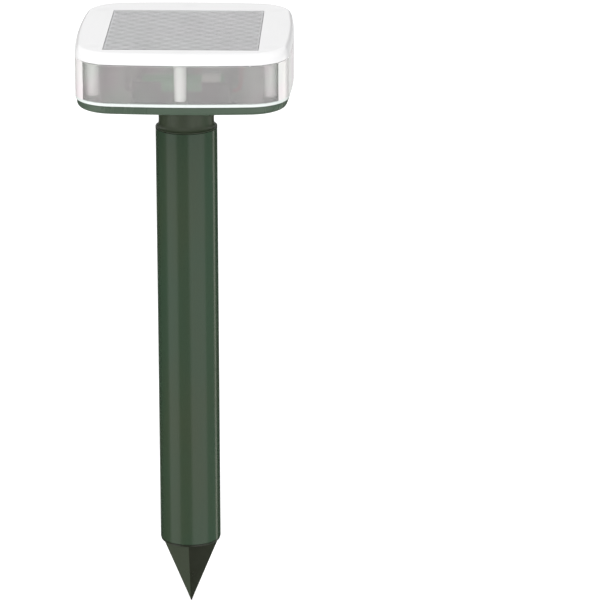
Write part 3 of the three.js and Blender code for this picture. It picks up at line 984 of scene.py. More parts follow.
class Workshop:
    """Makes temporary objects, and finishes pieces."""

    @staticmethod
    def shown(name: str, data: bpy.types.Mesh) -> bpy.types.Object:
        """Puts mesh data in the scene.

        Args:
            name: The object's name.
            data: The mesh data.

        Returns:
            The object.
        """
        made = bpy.data.objects.new(name, data)
        bpy.context.scene.collection.objects.link(made)
        return made

    @staticmethod
    def discard(used: bpy.types.Object) -> None:
        """Takes a temporary object and its mesh away.

        Args:
            used: The object.
        """
        data = used.data
        bpy.data.objects.remove(used)
        if data is not None and data.users == 0:
            bpy.data.meshes.remove(data)

    @staticmethod
    def evaluated(source: bpy.types.Object) -> bpy.types.Mesh:
        """An object's mesh with its modifiers applied.

        Args:
            source: The object.

        Returns:
            A new plain mesh.
        """
        bpy.context.view_layer.update()
        graph = bpy.context.evaluated_depsgraph_get()
        return bpy.data.meshes.new_from_object(source.evaluated_get(graph), depsgraph=graph)

    @classmethod
    def finish(
        cls,
        name: str,
        shape: Shape | bpy.types.Mesh,
        finishes: Sequence[Material],
        body: Body,
        slot: str,
        nodes: Sequence[str],
        lift: float = 0.0,
        crease: float = 38.0,
    ) -> bpy.types.Object:
        """Turns a shape into a finished piece of the repeller.

        Args:
            name: The piece's name.
            shape: The shape, in millimetres.
            finishes: Its materials.
            body: The body it moves with.
            slot: The record's material slot, which is not used.
            nodes: The CAD nodes that it stands for.
            lift: How far up it goes, in millimetres.
            crease: Edges sharper than this, in degrees, stay sharp.

        Returns:
            The piece's object.
        """
        data = shape.data() if isinstance(shape, Shape) else shape
        for material in finishes:
            data.materials.append(material)
        data.transform(Matrix.Scale(METRES, 4) @ Matrix.Translation((0, 0, lift)))
        data.shade_smooth()
        data.set_sharp_from_angle(angle=math.radians(crease))
        rough = cls.shown(name, data)
        weighted = rough.modifiers.new("weighted", "WEIGHTED_NORMAL")
        weighted.keep_sharp = True
        weighted.weight = 80
        final = cls.evaluated(rough)
        cls.discard(rough)
        final.name = name
        piece = cls.shown(name, final)
        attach(piece, body.value)
        if nodes:
            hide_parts(*nodes)
        LOG.info("%s: %d faces, rides on %s", name, len(final.polygons), body.value)
        return piece


# --- Geometry Nodes ---


class NodeMaker:
    """A Geometry Nodes tree with named inputs, which ends in Realize Instances and Set Material."""

    def __init__(self, name: str) -> None:
        """Starts the tree with a geometry in and out and a finish.

        Args:
            name: The tree's name.
        """
        self.tree = bpy.data.node_groups.new(name, "GeometryNodeTree")
        face = self.tree.interface
        face.new_socket("Geometry", in_out="INPUT", socket_type="NodeSocketGeometry")
        face.new_socket("Geometry", in_out="OUTPUT", socket_type="NodeSocketGeometry")
        face.new_socket("Finish", in_out="INPUT", socket_type="NodeSocketMaterial")
        self.given = self.tree.nodes.new("NodeGroupInput")
        self.result = self.tree.nodes.new("NodeGroupOutput")

    def size(self, name: str, kind: str = "Float") -> Socket:
        """Adds an input of a name and kind, and returns the socket to link from."""
        self.tree.interface.new_socket(name, in_out="INPUT", socket_type=f"NodeSocket{kind}")
        return self.given.outputs[name]

    def node(
        self, kind: str, feeds: dict[str | int, object] | None = None, **settings: object
    ) -> bpy.types.Node:
        """Adds a node, sets its properties and feeds its sockets.

        Args:
            kind: The node's type name.
            feeds: Socket names or places with a value or the socket that feeds them.
            settings: Property values of the node.

        Returns:
            The node.
        """
        made = self.tree.nodes.new(kind)
        for key, value in settings.items():
            setattr(made, key, value)
        for key, value in (feeds or {}).items():
            if isinstance(value, Socket):
                self.tree.links.new(value, made.inputs[key])
            else:
                made.inputs[key].default_value = value
        return made

    def close(self, geometry: Socket) -> None:
        """Ends the tree: real geometry with its finish.

        Args:
            geometry: What the tree has made.
        """
        real = self.node("GeometryNodeRealizeInstances", {"Geometry": geometry})
        dressed = self.node(
            "GeometryNodeSetMaterial", {"Geometry": real.outputs[0], "Material": self.given.outputs["Finish"]}
        )
        self.tree.links.new(dressed.outputs[0], self.result.inputs[0])

    def run(self, values: dict[str, object], base: bpy.types.Mesh | None = None) -> Shape:
        """Runs the tree.

        Args:
            values: The named inputs.
            base: The mesh that it starts from, or nothing for an empty one.

        Returns:
            What it makes.
        """
        holder = Workshop.shown(self.tree.name, base or bpy.data.meshes.new("empty"))
        change = holder.modifiers.new(self.tree.name, "NODES")
        change.node_group = self.tree
        for item in self.tree.interface.items_tree:
            if item.item_type == "SOCKET" and item.in_out == "INPUT" and item.name in values:
                change[item.identifier] = values[item.name]
        made = Shape.taken(Workshop.evaluated(holder))
        Workshop.discard(holder)
        return made


class Scatter(NodeMaker):
    """Puts a copy of a pattern piece on every point, turned as asked."""

    def __init__(self) -> None:
        """Builds the tree."""
        super().__init__("scatter")
        pattern = self.node("GeometryNodeObjectInfo", {"Object": self.size("Pattern", "Object")})
        copies = self.node(
            "GeometryNodeInstanceOnPoints",
            {
                "Points": self.given.outputs["Geometry"],
                "Instance": pattern.outputs["Geometry"],
                "Rotation": self.size("Turn", "Vector"),
            },
        )
        self.close(copies.outputs[0])

    def place(
        self, shape: Shape, points: Sequence[Triple], finish: Material, turn: Triple = (0, 0, 0)
    ) -> Shape:
        """Copies a shape to every point.

        Args:
            shape: The pattern piece.
            points: Where its origin goes.
            finish: Its material.
            turn: Its turn about each axis, in degrees.

        Returns:
            All copies as one shape.
        """
        pattern = Workshop.shown("pattern", shape.data())
        seats = bpy.data.meshes.new("seats")
        seats.from_pydata([tuple(point) for point in points], [], [])
        angles = [math.radians(angle) for angle in turn]
        result = self.run({"Pattern": pattern, "Turn": angles, "Finish": finish}, seats)
        Workshop.discard(pattern)
        return result


class FingerLines(NodeMaker):
    """Thin raised lines across a sheet, evenly spaced along Y."""

    def __init__(self) -> None:
        """Builds the tree."""
        super().__init__("finger_lines")
        count = self.size("Count", "Int")
        pitch = self.size("Pitch")
        start = self.size("Start", "Vector")
        strip = self.size("Strip", "Vector")
        step = self.node("ShaderNodeCombineXYZ", {"Y": pitch})
        row = self.node(
            "GeometryNodeMeshLine", {"Count": count, "Start Location": start, "Offset": step.outputs[0]}
        )
        line = self.node("GeometryNodeMeshCube", {"Size": strip})
        copies = self.node(
            "GeometryNodeInstanceOnPoints", {"Points": row.outputs[0], "Instance": line.outputs[0]}
        )
        self.close(copies.outputs[0])


class Perforation(NodeMaker):
    """Drills a round plate with a middle hole and two rings of holes."""

    def __init__(self) -> None:
        """Builds the tree."""
        super().__init__("perforation")
        radius = self.size("Hole Radius")
        height = self.size("Height")
        sides = self.size("Hole Sides", "Int")
        depth = self.size("Depth")
        drill = self.node("GeometryNodeMeshCylinder", {"Vertices": sides, "Radius": radius, "Depth": depth})
        drills = self.node("GeometryNodeJoinGeometry")
        self.tree.links.new(drill.outputs[0], drills.inputs[0])
        for ring in ("Inner", "Outer"):
            count = self.size(f"{ring} Count", "Int")
            reach = self.size(f"{ring} Radius")
            seats = self.node("GeometryNodeMeshCircle", {"Vertices": count, "Radius": reach})
            copies = self.node(
                "GeometryNodeInstanceOnPoints", {"Points": seats.outputs[0], "Instance": drill.outputs[0]}
            )
            real = self.node("GeometryNodeRealizeInstances", {"Geometry": copies.outputs[0]})
            self.tree.links.new(real.outputs[0], drills.inputs[0])
        up = self.node("ShaderNodeCombineXYZ", {"Z": height})
        moved = self.node(
            "GeometryNodeTransform", {"Geometry": drills.outputs[0], "Translation": up.outputs[0]}
        )
        cut = self.node("GeometryNodeMeshBoolean", operation="DIFFERENCE")
        self.tree.links.new(self.given.outputs["Geometry"], cut.inputs[0])
        self.tree.links.new(moved.outputs[0], cut.inputs[1])
        self.close(cut.outputs[0])


class Winding(NodeMaker):
    """A wire wound round the vertical axis."""

    def __init__(self) -> None:
        """Builds the tree."""
        super().__init__("winding")
        turns = self.size("Turns")
        steps = self.size("Steps", "Int")
        start = self.size("Start Radius")
        end = self.size("End Radius")
        height = self.size("Height")
        gauge = self.size("Wire Radius")
        sides = self.size("Wire Sides", "Int")
        line = self.node(
            "GeometryNodeCurveSpiral",
            {
                "Resolution": steps,
                "Rotations": turns,
                "Start Radius": start,
                "End Radius": end,
                "Height": height,
            },
        )
        section = self.node("GeometryNodeCurvePrimitiveCircle", {"Resolution": sides, "Radius": gauge})
        wire = self.node(
            "GeometryNodeCurveToMesh", {
                "Curve": line.outputs[0], "Profile Curve": section.outputs[0], "Fill Caps": True
            }
        )
        self.close(wire.outputs[0])

    def wind(self, finish: Material, **sizes: float) -> Shape:
        """Winds a wire.

        Args:
            finish: The wire's material.
            sizes: The named inputs, with underscores for spaces.

        Returns:
            The wire, its foot at height 0.
        """
        values = {key.replace("_", " "): value for key, value in sizes.items()}
        result = self.run({**values, "Finish": finish})
        bmesh.ops.recalc_face_normals(result.mesh, faces=result.mesh.faces)
        return result


def drawn_through(points: Sequence[Triple], steps: int) -> list[Vector]:
    """A smooth line through points, without loops where they are close together.

    Args:
        points: The points.
        steps: How many steps each stretch has.

    Returns:
        The line's points.
    """
    knots = [Vector(point) for point in points]
    knots = [2 * knots[0] - knots[1], *knots, 2 * knots[-1] - knots[-2]]
    line = []
    for index in range(1, len(knots) - 2):
        near = knots[index - 1 : index + 3]
        times = [0.0]
        for first, second in zip(near, near[1:]):
            times.append(times[-1] + math.sqrt((second - first).length))
        for step in range(steps):
            now = times[1] + (times[2] - times[1]) * step / steps
            layer = near
            for depth in (1, 2, 3):
                following = []
                for place in range(len(layer) - 1):
                    start, end = place, place + depth
                    if depth == 3:
                        start, end = 1, 2
                    elif depth == 2:
                        start, end = place, place + 2
                    share = (now - times[start]) / (times[end] - times[start])
                    following.append(layer[place] * (1 - share) + layer[place + 1] * share)
                layer = following
            line.append(layer[0])
    line.append(knots[-2])
    return line


# --- Sub-assemblies ---


@dataclass
class HeadPlan:
    """The head's plan, four bulging sides that run into round corners, and its screw places."""

    half_width: float = 65.9
    bulge: float = 3.8
    corner_radius: float = 24.3
    side_steps: int = 26
    corner_steps: int = 18
    post_x: float = 53.2
    post_y: float = 45.2
    post_front: float = 58.2

    def outline(self, inset: float) -> list[Pair]:
        """The plan, drawn smaller by an inset.

        Args:
            inset: How much smaller it is on every side.

        Returns:
            The outline's points.
        """
        chord = self.half_width - self.bulge
        side_radius = (chord**2 + self.bulge**2) / (2 * self.bulge)
        offset = side_radius - self.half_width
        reach = side_radius - self.corner_radius
        corner = (math.sqrt(2 * reach**2 - offset**2) - offset) / 2
        turn = math.atan2(corner, corner + offset)
        points: list[Pair] = []
        for side in range(4):
            facing = side * math.pi / 2
            spin = Matrix.Rotation(facing, 2)
            arcs = (
                (spin @ Vector((-offset, 0)), side_radius, -turn, turn, self.side_steps),
                (
                    spin @ Vector((corner, corner)), self.corner_radius, turn, math.pi / 2 - turn,
                    self.corner_steps,
                ),
            )
            for centre, radius, start, end, steps in arcs:
                for step in range(steps):
                    angle = facing + start + (end - start) * step / steps
                    reach_out = radius - inset
                    points.append(
                        (centre.x + reach_out * math.cos(angle), centre.y + reach_out * math.sin(angle))
                    )
        return points

    def posts(self) -> list[Pair]:
        """The six places where a screw joins the tray to a post of the top shell."""
        corners = [(side * self.post_x, end * self.post_y) for end in (-1, 1) for side in (-1, 1)]
        return [*corners, (0.0, -self.post_front), (0.0, self.post_front)]


@dataclass
class ScrewMaker:
    """Pan-head screws with a cross recess, which point up from a seat at height 0."""

    scatter: Scatter
    finish: Material
    segments: int = 24

    def pattern(self, head_radius: float, head_height: float, shank_radius: float, length: float) -> Shape:
        """One screw.

        Args:
            head_radius: The head's radius.
            head_height: The head's height.
            shank_radius: The shank's radius.
            length: The shank's length.

        Returns:
            The screw.
        """
        crown = [
            (0.0, -head_height), (head_radius * 0.55, -head_height * 0.98),
            (head_radius * 0.84, -head_height * 0.78), (head_radius * 0.97, -head_height * 0.45),
            (head_radius, 0.0), (shank_radius, 0.0),
        ]
        pitch = shank_radius * 0.55
        root = shank_radius * 0.82
        height = 0.9
        while height < length - shank_radius * 1.2:
            crown += [(root, height), (shank_radius, height + pitch * 0.4), (root, height + pitch * 0.8)]
            height += pitch
        crown += [(root, length - shank_radius), (0.0, length)]
        screw = Shape.swept(circle(self.segments), crown)
        wide, narrow = head_radius * 1.05, head_radius * 0.26
        recess = Shape.block(wide, narrow, -head_height - 1, -head_height * 0.5)
        cross = Shape.block(narrow, wide, -head_height - 1, -head_height * 0.51)
        return screw.combined(cut=[recess]).combined(cut=[cross])

    def row(self, pattern: Shape, seats: Sequence[Triple], down: bool) -> Shape:
        """Copies of a screw at several seats as one shape, pointing up or down."""
        return self.scatter.place(pattern, seats, self.finish, (180, 0, 0) if down else (0, 0, 0))


class HeadPart:
    """What the head's sub-assemblies share."""

    base: float

    def keep(
        self,
        name: str,
        shape: Shape,
        finishes: Sequence[Material],
        slot: str,
        *nodes: str,
        crease: float = 38.0,
    ) -> bpy.types.Object:
        """Finishes one piece that moves with the head; the arguments are those of Workshop.finish."""
        return Workshop.finish(name, shape, finishes, Body.HEAD, slot, nodes, self.base, crease)


@dataclass
class Stake:
    """The green tube and the four-sided spike that plugs its lower end."""

    finishes: Finishes
    radius: float = 19.0
    wall: float = 1.3
    bottom: float = 44.75
    top: float = 312.5
    corner: float = 18.3
    tip: float = 0.5
    flange: float = 18.6
    flange_bottom: float = 43.15
    flange_top: float = 44.45
    plug: float = 17.3
    plug_wall: float = 2.2
    plug_top: float = 74.0
    rib: float = 1.6

    def build(self) -> None:
        """Builds the tube and the spike."""
        inner = self.radius - self.wall
        wall = [(inner, self.bottom), (self.radius, self.bottom), (self.radius, self.top), (inner, self.top)]
        tube = Shape.swept(circle(160), filleted(wall, 0.15, 3), looped=True)
        Workshop.finish(
            "stake_tube_drawn", tube, [self.finishes.tube], Body.STAKE, "stake_green", ["stake_tube"]
        )
        Workshop.finish(
            "ground_spike_moulded", self.spike(), [self.finishes.spike], Body.STAKE, "spike_plastic", [
                "ground_spike"
            ],
            crease=24.0,
        )

    def spike(self) -> Shape:
        """The point, its flange and the ribbed plug above it.

        Returns:
            The shape.
        """
        point = Shape()
        rings = []
        edge = 0.35
        levels = 10
        top = self.flange_bottom + 0.2
        for level in range(levels + 1):
            height = top * level / levels
            reach = self.tip + (self.corner - self.tip) * level / levels
            ring = []
            for side in range(4):
                for shift in (-1, 1):
                    turn = side * math.pi / 2
                    along = Vector((math.cos(turn), math.sin(turn)))
                    across = Vector((-along.y, along.x))
                    soft = min(edge, reach * 0.4)
                    place = along * (reach - soft) + across * (shift * soft)
                    ring.append(point.mesh.verts.new((place.x, place.y, height)))
            rings.append(ring)
        for lower, upper in zip(rings, rings[1:]):
            point.bridge(lower, upper)
        point.mesh.faces.new(rings[0])
        point.mesh.faces.new(rings[-1])
        bmesh.ops.recalc_face_normals(point.mesh, faces=point.mesh.faces)
        base = self.flange_top - 0.5
        inside = self.plug - self.plug_wall
        rim = [
            (0, self.flange_bottom), (self.flange, self.flange_bottom), (self.flange, self.flange_top),
            (0, self.flange_top),
        ]
        flange = Shape.swept(circle(128), filleted(rim, 0.3, 3, looped=False))
        cup = [
            (inside, base), (self.plug, base), (self.plug, self.plug_top - 1.2),
            (self.plug - 1.2, self.plug_top),
        ]
        cup += [(inside, self.plug_top)]
        plug = Shape.swept(circle(96), filleted(cup, 0.3, 2), looped=True)
        rib_top = self.plug_top - 8
        rib = Shape.block(2 * inside + 1, self.rib, base, rib_top, 0.2)
        cross = Shape.block(self.rib, 2 * inside + 1, base, rib_top + 0.02, 0.2)
        return point.combined(add=[flange]).combined(add=[plug]).combined(add=[rib]).combined(add=[cross])


@dataclass
class Collar(HeadPart):
    """The neck under the tray, its flare over the tube's rim, the spigot and its two O-rings."""

    finishes: Finishes
    screws: ScrewMaker
    base: float
    neck: float = 17.0
    bore: float = 13.6
    throat: float = 9.5
    ceiling: float = -9.0
    flare_top: float = -20.0
    flare_bottom: float = -23.7
    rim_gap: float = -24.2
    rim: float = 19.0
    spigot_bottom: float = -70.5
    groove: float = 15.7
    groove_height: float = 2.2
    grooves: tuple[float, ...] = (-58.2, -36.2)
    ring_radius: float = 16.65
    ring_section: float = 0.75
    register: float = 11.2
    register_top: float = 1.9
    screw_circle: float = 14.2
    screw_seat: float = 2.3

    def screw_places(self) -> list[Pair]:
        """The three places of its screws, on a circle."""
        turns = [math.pi / 2 + index * math.tau / 3 for index in range(3)]
        return [(self.screw_circle * math.cos(turn), self.screw_circle * math.sin(turn)) for turn in turns]

    def build(self) -> None:
        """Builds the collar, its O-rings and its screws."""
        spigot = [
            (self.bore, self.spigot_bottom), (self.neck - 1, self.spigot_bottom),
            (self.neck, self.spigot_bottom + 2),
        ]
        for bottom in self.grooves:
            top = bottom + self.groove_height
            spigot += [(self.neck, bottom), (self.groove, bottom), (self.groove, top), (self.neck, top)]
        spigot += [(self.neck, self.rim_gap), (self.rim, self.rim_gap)]
        flare = [(self.rim, self.flare_bottom)]
        steps = 8
        for step in range(1, steps + 1):
            turn = step / steps * math.pi / 2
            across = self.rim - 0.1 - (self.rim - 0.1 - self.neck) * math.sin(turn)
            flare.append(
                (across, self.flare_bottom + (self.flare_top - self.flare_bottom) * (1 - math.cos(turn)))
            )
        top = [(self.neck, -0.3), (self.register, -0.3), (self.register, self.register_top)]
        top += [(self.throat, self.register_top), (self.throat, self.ceiling), (self.bore, self.ceiling)]
        profile = filleted([*spigot, *flare, *top], 0.12, 3)
        holes = [Shape.bar(1.6, self.ceiling + 1, 1, 20).moved(x, y) for x, y in self.screw_places()]
        body = Shape.swept(circle(128), profile, looped=True).combined(cut=holes)
        self.keep("collar_moulded", body, [self.finishes.collar], "tray_green", "collar", crease=30.0)
        for index, bottom in enumerate(reversed(self.grooves), start=1):
            self.o_ring(index, bottom + self.groove_height / 2)
        pattern = self.screws.pattern(2.5, 1.6, 1.3, 8.5)
        seats = [(x, y, self.screw_seat) for x, y in self.screw_places()]
        self.keep(
            "collar_screws", self.screws.row(pattern, seats, down=True), [self.finishes.steel], "steel",
            *[f"collar_screw_{index}" for index in (1, 2, 3)],
        )

    def o_ring(self, index: int, height: float) -> None:
        """One O-ring in its groove, with the fine flash line of its mould.

        Args:
            index: Its number.
            height: The height of its middle.
        """
        section = []
        sides = 16
        for side in range(sides):
            turn = side * math.tau / sides
            flash = 0.02 if side in (0, sides // 2) else 0.0
            reach = self.ring_section - 0.02 + flash
            section.append((self.ring_radius + reach * math.cos(turn), height + reach * math.sin(turn)))
        ring = Shape.swept(circle(96), section, looped=True)
        name = f"spigot_o_ring_{index}"
        Workshop.finish(
            f"o_ring_{index}_moulded", ring, [self.finishes.rubber], Body.SEAL, "rubber", [name],
            self.base, 60.0,
        )


@dataclass
class Casing(HeadPart):
    """The tray, the seal, the frosted band, the white top shell and the six screws that hold them."""

    finishes: Finishes
    screws: ScrewMaker
    plan: HeadPlan
    collar: Collar
    base: float
    tray_inset: float = 0.9
    tray_floor: float = 2.2
    tray_rim: float = 5.1
    tray_round: Pair = (3.0, 3.4)
    lip: Triple = (3.3, 4.7, 6.6)
    groove: Triple = (1.5, 3.3, 4.0)
    band: Triple = (2.2, 5.4, 30.7)
    band_rim: Pair = (3.0, 7.0)
    band_foot: float = 7.3  # the upper edge of the foot, painted pale as a highlight where the band's lower edge catches light
    band_side: float = 58.8  # where the sides start, left and right, painted milkier and whiter as a painted highlight of the grazing view
    shell_bottom: float = 31.0
    shell_top: float = 38.1
    shell_plate: float = 2.4
    shell_round: Pair = (3.2, 6.9)
    tongue: Triple = (2.5, 3.9, 29.6)
    post: Triple = (3.6, 3.9, 7.8)
    pilot: float = 1.7
    boss: Triple = (4.6, 3.4, 2.3)
    standoffs: tuple[Pair, ...] = ((-28, 21), (28, 21), (-28, 47), (28, 47))
    standoff_top: float = 12.7
    recess: tuple[float, float, float] = (93.1, 97.3, -6.45)
    recess_floor: float = 1.8
    recess_frame: float = 1.6
    wire_hole: Pair = (30.0, 3.0)
    button_y: float = 42.0
    button_hole: float = 5.5
    guard: Triple = (7.6, 8.8, 1.4)

    def build(self) -> None:
        """Builds the casing's pieces."""
        self.keep("base_tray_moulded", self.tray(), [self.finishes.tray], "tray_green", "base_tray")
        seal = [
            (self.groove[0] + 0.3, 4.1), (self.groove[1] - 0.3, 4.1), (self.groove[1] - 0.3, 5.3),
            (self.groove[0] + 0.3, 5.3),
        ]
        gasket = Shape.swept(self.plan.outline, filleted(seal, 0.45, 4), looped=True)
        self.keep("band_seal_moulded", gasket, [self.finishes.rubber], "rubber", "band_seal")
        wall, low, high = self.band
        inner, step = self.band_rim
        ring = [
            (0, low), (0, self.band_foot), (0, high), (wall, high), (wall, step), (inner, step), (inner, low)
        ]
        clear = Shape.swept(self.plan.outline, filleted(ring, 0.45, 4), looped=True)
        # Painted highlight: the side faces, left and right, take the milkier finish that stands in for their
        # bright grazing view
        clear.painted(1, lambda centre: abs(centre.x) > self.band_side)
        # Painted highlight: the foot's faces take the pale finish for the light that its edge catches
        clear.painted(2, lambda centre: centre.z < self.band_foot)
        looks = [self.finishes.band, self.finishes.band_side, self.finishes.band_foot]
        piece = self.keep("side_band_frosted", clear, looks, "frosted_clear", "side_band")
        piece.visible_shadow = False
        # Painted light: the posts, the faces below the tongue, take the brighter post finish, as if more lit
        # than the rest of the shell
        shell = self.shell().painted(1, lambda centre: centre.z < self.tongue[2] - 0.1)
        self.keep(
            "top_shell_moulded", shell, [self.finishes.shell, self.finishes.post], "white_shell", "top_shell"
        )
        pattern = self.screws.pattern(3.0, 1.8, 1.35, 14)
        seats = [(x, y, self.boss[2] - 0.1) for x, y in self.plan.posts()]
        self.keep(
            "cover_screws", self.screws.row(pattern, seats, down=False), [self.finishes.steel], "steel",
            *[f"cover_screw_{index}" for index in range(1, 7)],
        )

    def tray(self) -> Shape:
        """The shallow tray with its rim, bosses, standoffs and holes.

        Returns:
            The shape.
        """
        wide, high = self.tray_round
        under = quarter(wide, high, (self.tray_inset + wide, high), 10, rising=False)
        rim = self.tray_rim
        profile = [
            *reversed(under), (self.tray_inset, rim - 0.3), (self.tray_inset + 0.1, rim - 0.1),
            (self.tray_inset + 0.3, rim),
        ]
        outer, inner, bottom = self.groove
        lip_outer, lip_inner, lip_top = self.lip
        profile += [
            (outer, rim), (outer, bottom), (inner, bottom), (lip_outer, lip_top - 0.3),
            (lip_outer + 0.3, lip_top),
        ]
        profile += [
            (lip_inner - 0.3, lip_top), (lip_inner, lip_top - 0.3), (lip_inner, self.tray_floor + 0.6)
        ]
        profile += [(lip_inner + 0.2, self.tray_floor + 0.2), (lip_inner + 0.6, self.tray_floor)]
        body = Shape.swept(self.plan.outline, profile)
        radius, counterbore, seat = self.boss
        posts = self.plan.posts()
        bosses = [Shape.bar(radius, 1, self.post[2] - 0.3, 40, 0.3).moved(x, y) for x, y in posts]
        bosses += [Shape.bar(3, 1, self.standoff_top, 32, 0.3).moved(x, y) for x, y in self.standoffs]
        guard_in, guard_out, guard_depth = self.guard
        ring = [(guard_in, -guard_depth), (guard_out, -guard_depth), (guard_out, 1), (guard_in, 1)]
        bosses.append(Shape.swept(circle(64), filleted(ring, 0.35, 3), looped=True).moved(0, self.button_y))
        holes = [Shape.bar(self.pilot, -1, self.post[2] + 1, 24).moved(x, y) for x, y in posts]
        holes += [Shape.bar(1.3, 6, self.standoff_top + 1, 20).moved(x, y) for x, y in self.standoffs]
        holes += [
            Shape.bar(1.6, -1, self.tray_floor + 1, 20).moved(x, y) for x, y in self.collar.screw_places()
        ]
        holes.append(Shape.bar(self.collar.register + 0.3, -1, self.tray_floor + 1, 64))
        holes.append(Shape.bar(self.button_hole, -3, self.tray_floor + 1, 48).moved(0, self.button_y))
        sinks = [Shape.bar(counterbore, -1, seat, 40).moved(x, y) for x, y in posts]
        return body.combined(add=bosses).combined(cut=holes).combined(cut=sinks)

    def shell(self) -> Shape:
        """The white top with its panel recess and its six posts.

        Returns:
            The shape.
        """
        under = self.shell_top - self.shell_plate
        wide, high = self.shell_round
        tongue_outer, tongue_inner, tongue_bottom = self.tongue
        inside = quarter(2.2, under - self.shell_bottom - 1.5, (5.2, self.shell_bottom + 1.5), 6, rising=True)
        profile = [
            *reversed(inside), (tongue_inner, self.shell_bottom + 1.5), (tongue_inner, tongue_bottom + 0.2)
        ]
        profile += [
            (tongue_inner - 0.2, tongue_bottom), (tongue_outer + 0.2, tongue_bottom),
            (tongue_outer, tongue_bottom + 0.2),
        ]
        profile += [
            (tongue_outer, self.shell_bottom), (0.25, self.shell_bottom), (0.05, self.shell_bottom + 0.1)
        ]
        profile += quarter(wide, high - 0.1, (wide, self.shell_top - high + 0.1), 16, rising=True)
        body = Shape.swept(self.plan.outline, profile)
        width, depth, y = self.recess
        frame_size = 2 * self.recess_frame
        floor = Shape.block(
            width + frame_size, depth + frame_size, under - self.recess_floor, under + 0.5, 0.3
        ).moved(0, y)
        end, top, bottom = self.post
        posts = []
        for place_x, place_y in self.plan.posts():
            taper = [(0.0, bottom), (end, bottom), (top, under + 0.4), (0.0, under + 0.4)]
            posts.append(
                Shape.swept(circle(48), filleted(taper, 0.6, 4, looped=False)).moved(place_x, place_y)
            )
        pocket = Shape.block(width, depth, under, self.shell_top + 1).moved(0, y)
        hole_y, hole_radius = self.wire_hole
        pilots = [
            Shape.bar(self.pilot, bottom - 1, bottom + 11, 24).moved(x, post_y)
            for x, post_y in self.plan.posts()
        ]
        wires = Shape.bar(hole_radius, under - self.recess_floor - 1, under + 1, 32).moved(0, hole_y)
        solid = body.combined(add=[floor]).combined(add=posts)
        return solid.combined(cut=[pocket]).combined(cut=[*pilots, wires])


@dataclass
class SolarPanel(HeadPart):
    """The panel's tape, board, grey cells with their finger lines, and clear cover."""

    finishes: Finishes
    base: float
    width: float = 92.4
    depth: float = 96.6
    y: float = -6.45
    tape: Pair = (35.8, 36.2)
    board: Pair = (36.3, 37.1)
    cells: Pair = (37.2, 37.45)
    glass: Pair = (37.55, 38.1)
    lines: int = 38
    line_width: float = 0.5

    def sheet(self, margin: float, heights: Pair, edge: float) -> Shape:
        """One flat layer, smaller by a margin all round."""
        return Shape.block(self.width - 2 * margin, self.depth - 2 * margin, *heights, edge).moved(0, self.y)

    def build(self) -> None:
        """Builds the four layers."""
        look = self.finishes
        low, high = self.tape
        inner = Shape.block(self.width - 14, self.depth - 14, low - 1, high + 1).moved(0, self.y)
        tape = self.sheet(0.8, self.tape, 0.08).combined(cut=[inner])
        self.keep("solar_tape_foam", tape, [look.foam], "foam", "solar_tape")
        board = self.sheet(0, self.board, 0.08)
        self.keep("solar_board_printed", board, [look.panel_board], "circuit_board", "solar_board")
        cell = self.sheet(1, (self.cells[0], self.cells[1] - 0.05), 0.06)
        maker = FingerLines()
        pitch = (self.depth - 6) / (self.lines - 1)
        values = {
            "Count": self.lines,
            "Pitch": pitch,
            "Start": (0, self.y - (self.depth - 6) / 2, self.cells[1] - 0.05),
            "Strip": (self.width - 5, self.line_width, 0.08),
            "Finish": look.fingers,
        }
        cell.joined([maker.run(values).painted(1)])
        self.keep(
            "solar_cells_grey", cell, [look.cells, look.fingers], "silicon", "solar_cells"
        )
        cover = self.sheet(0, self.glass, 0.12)
        piece = self.keep("solar_glass_clear", cover, [look.glass], "panel_glass", "solar_glass")
        piece.visible_shadow = False


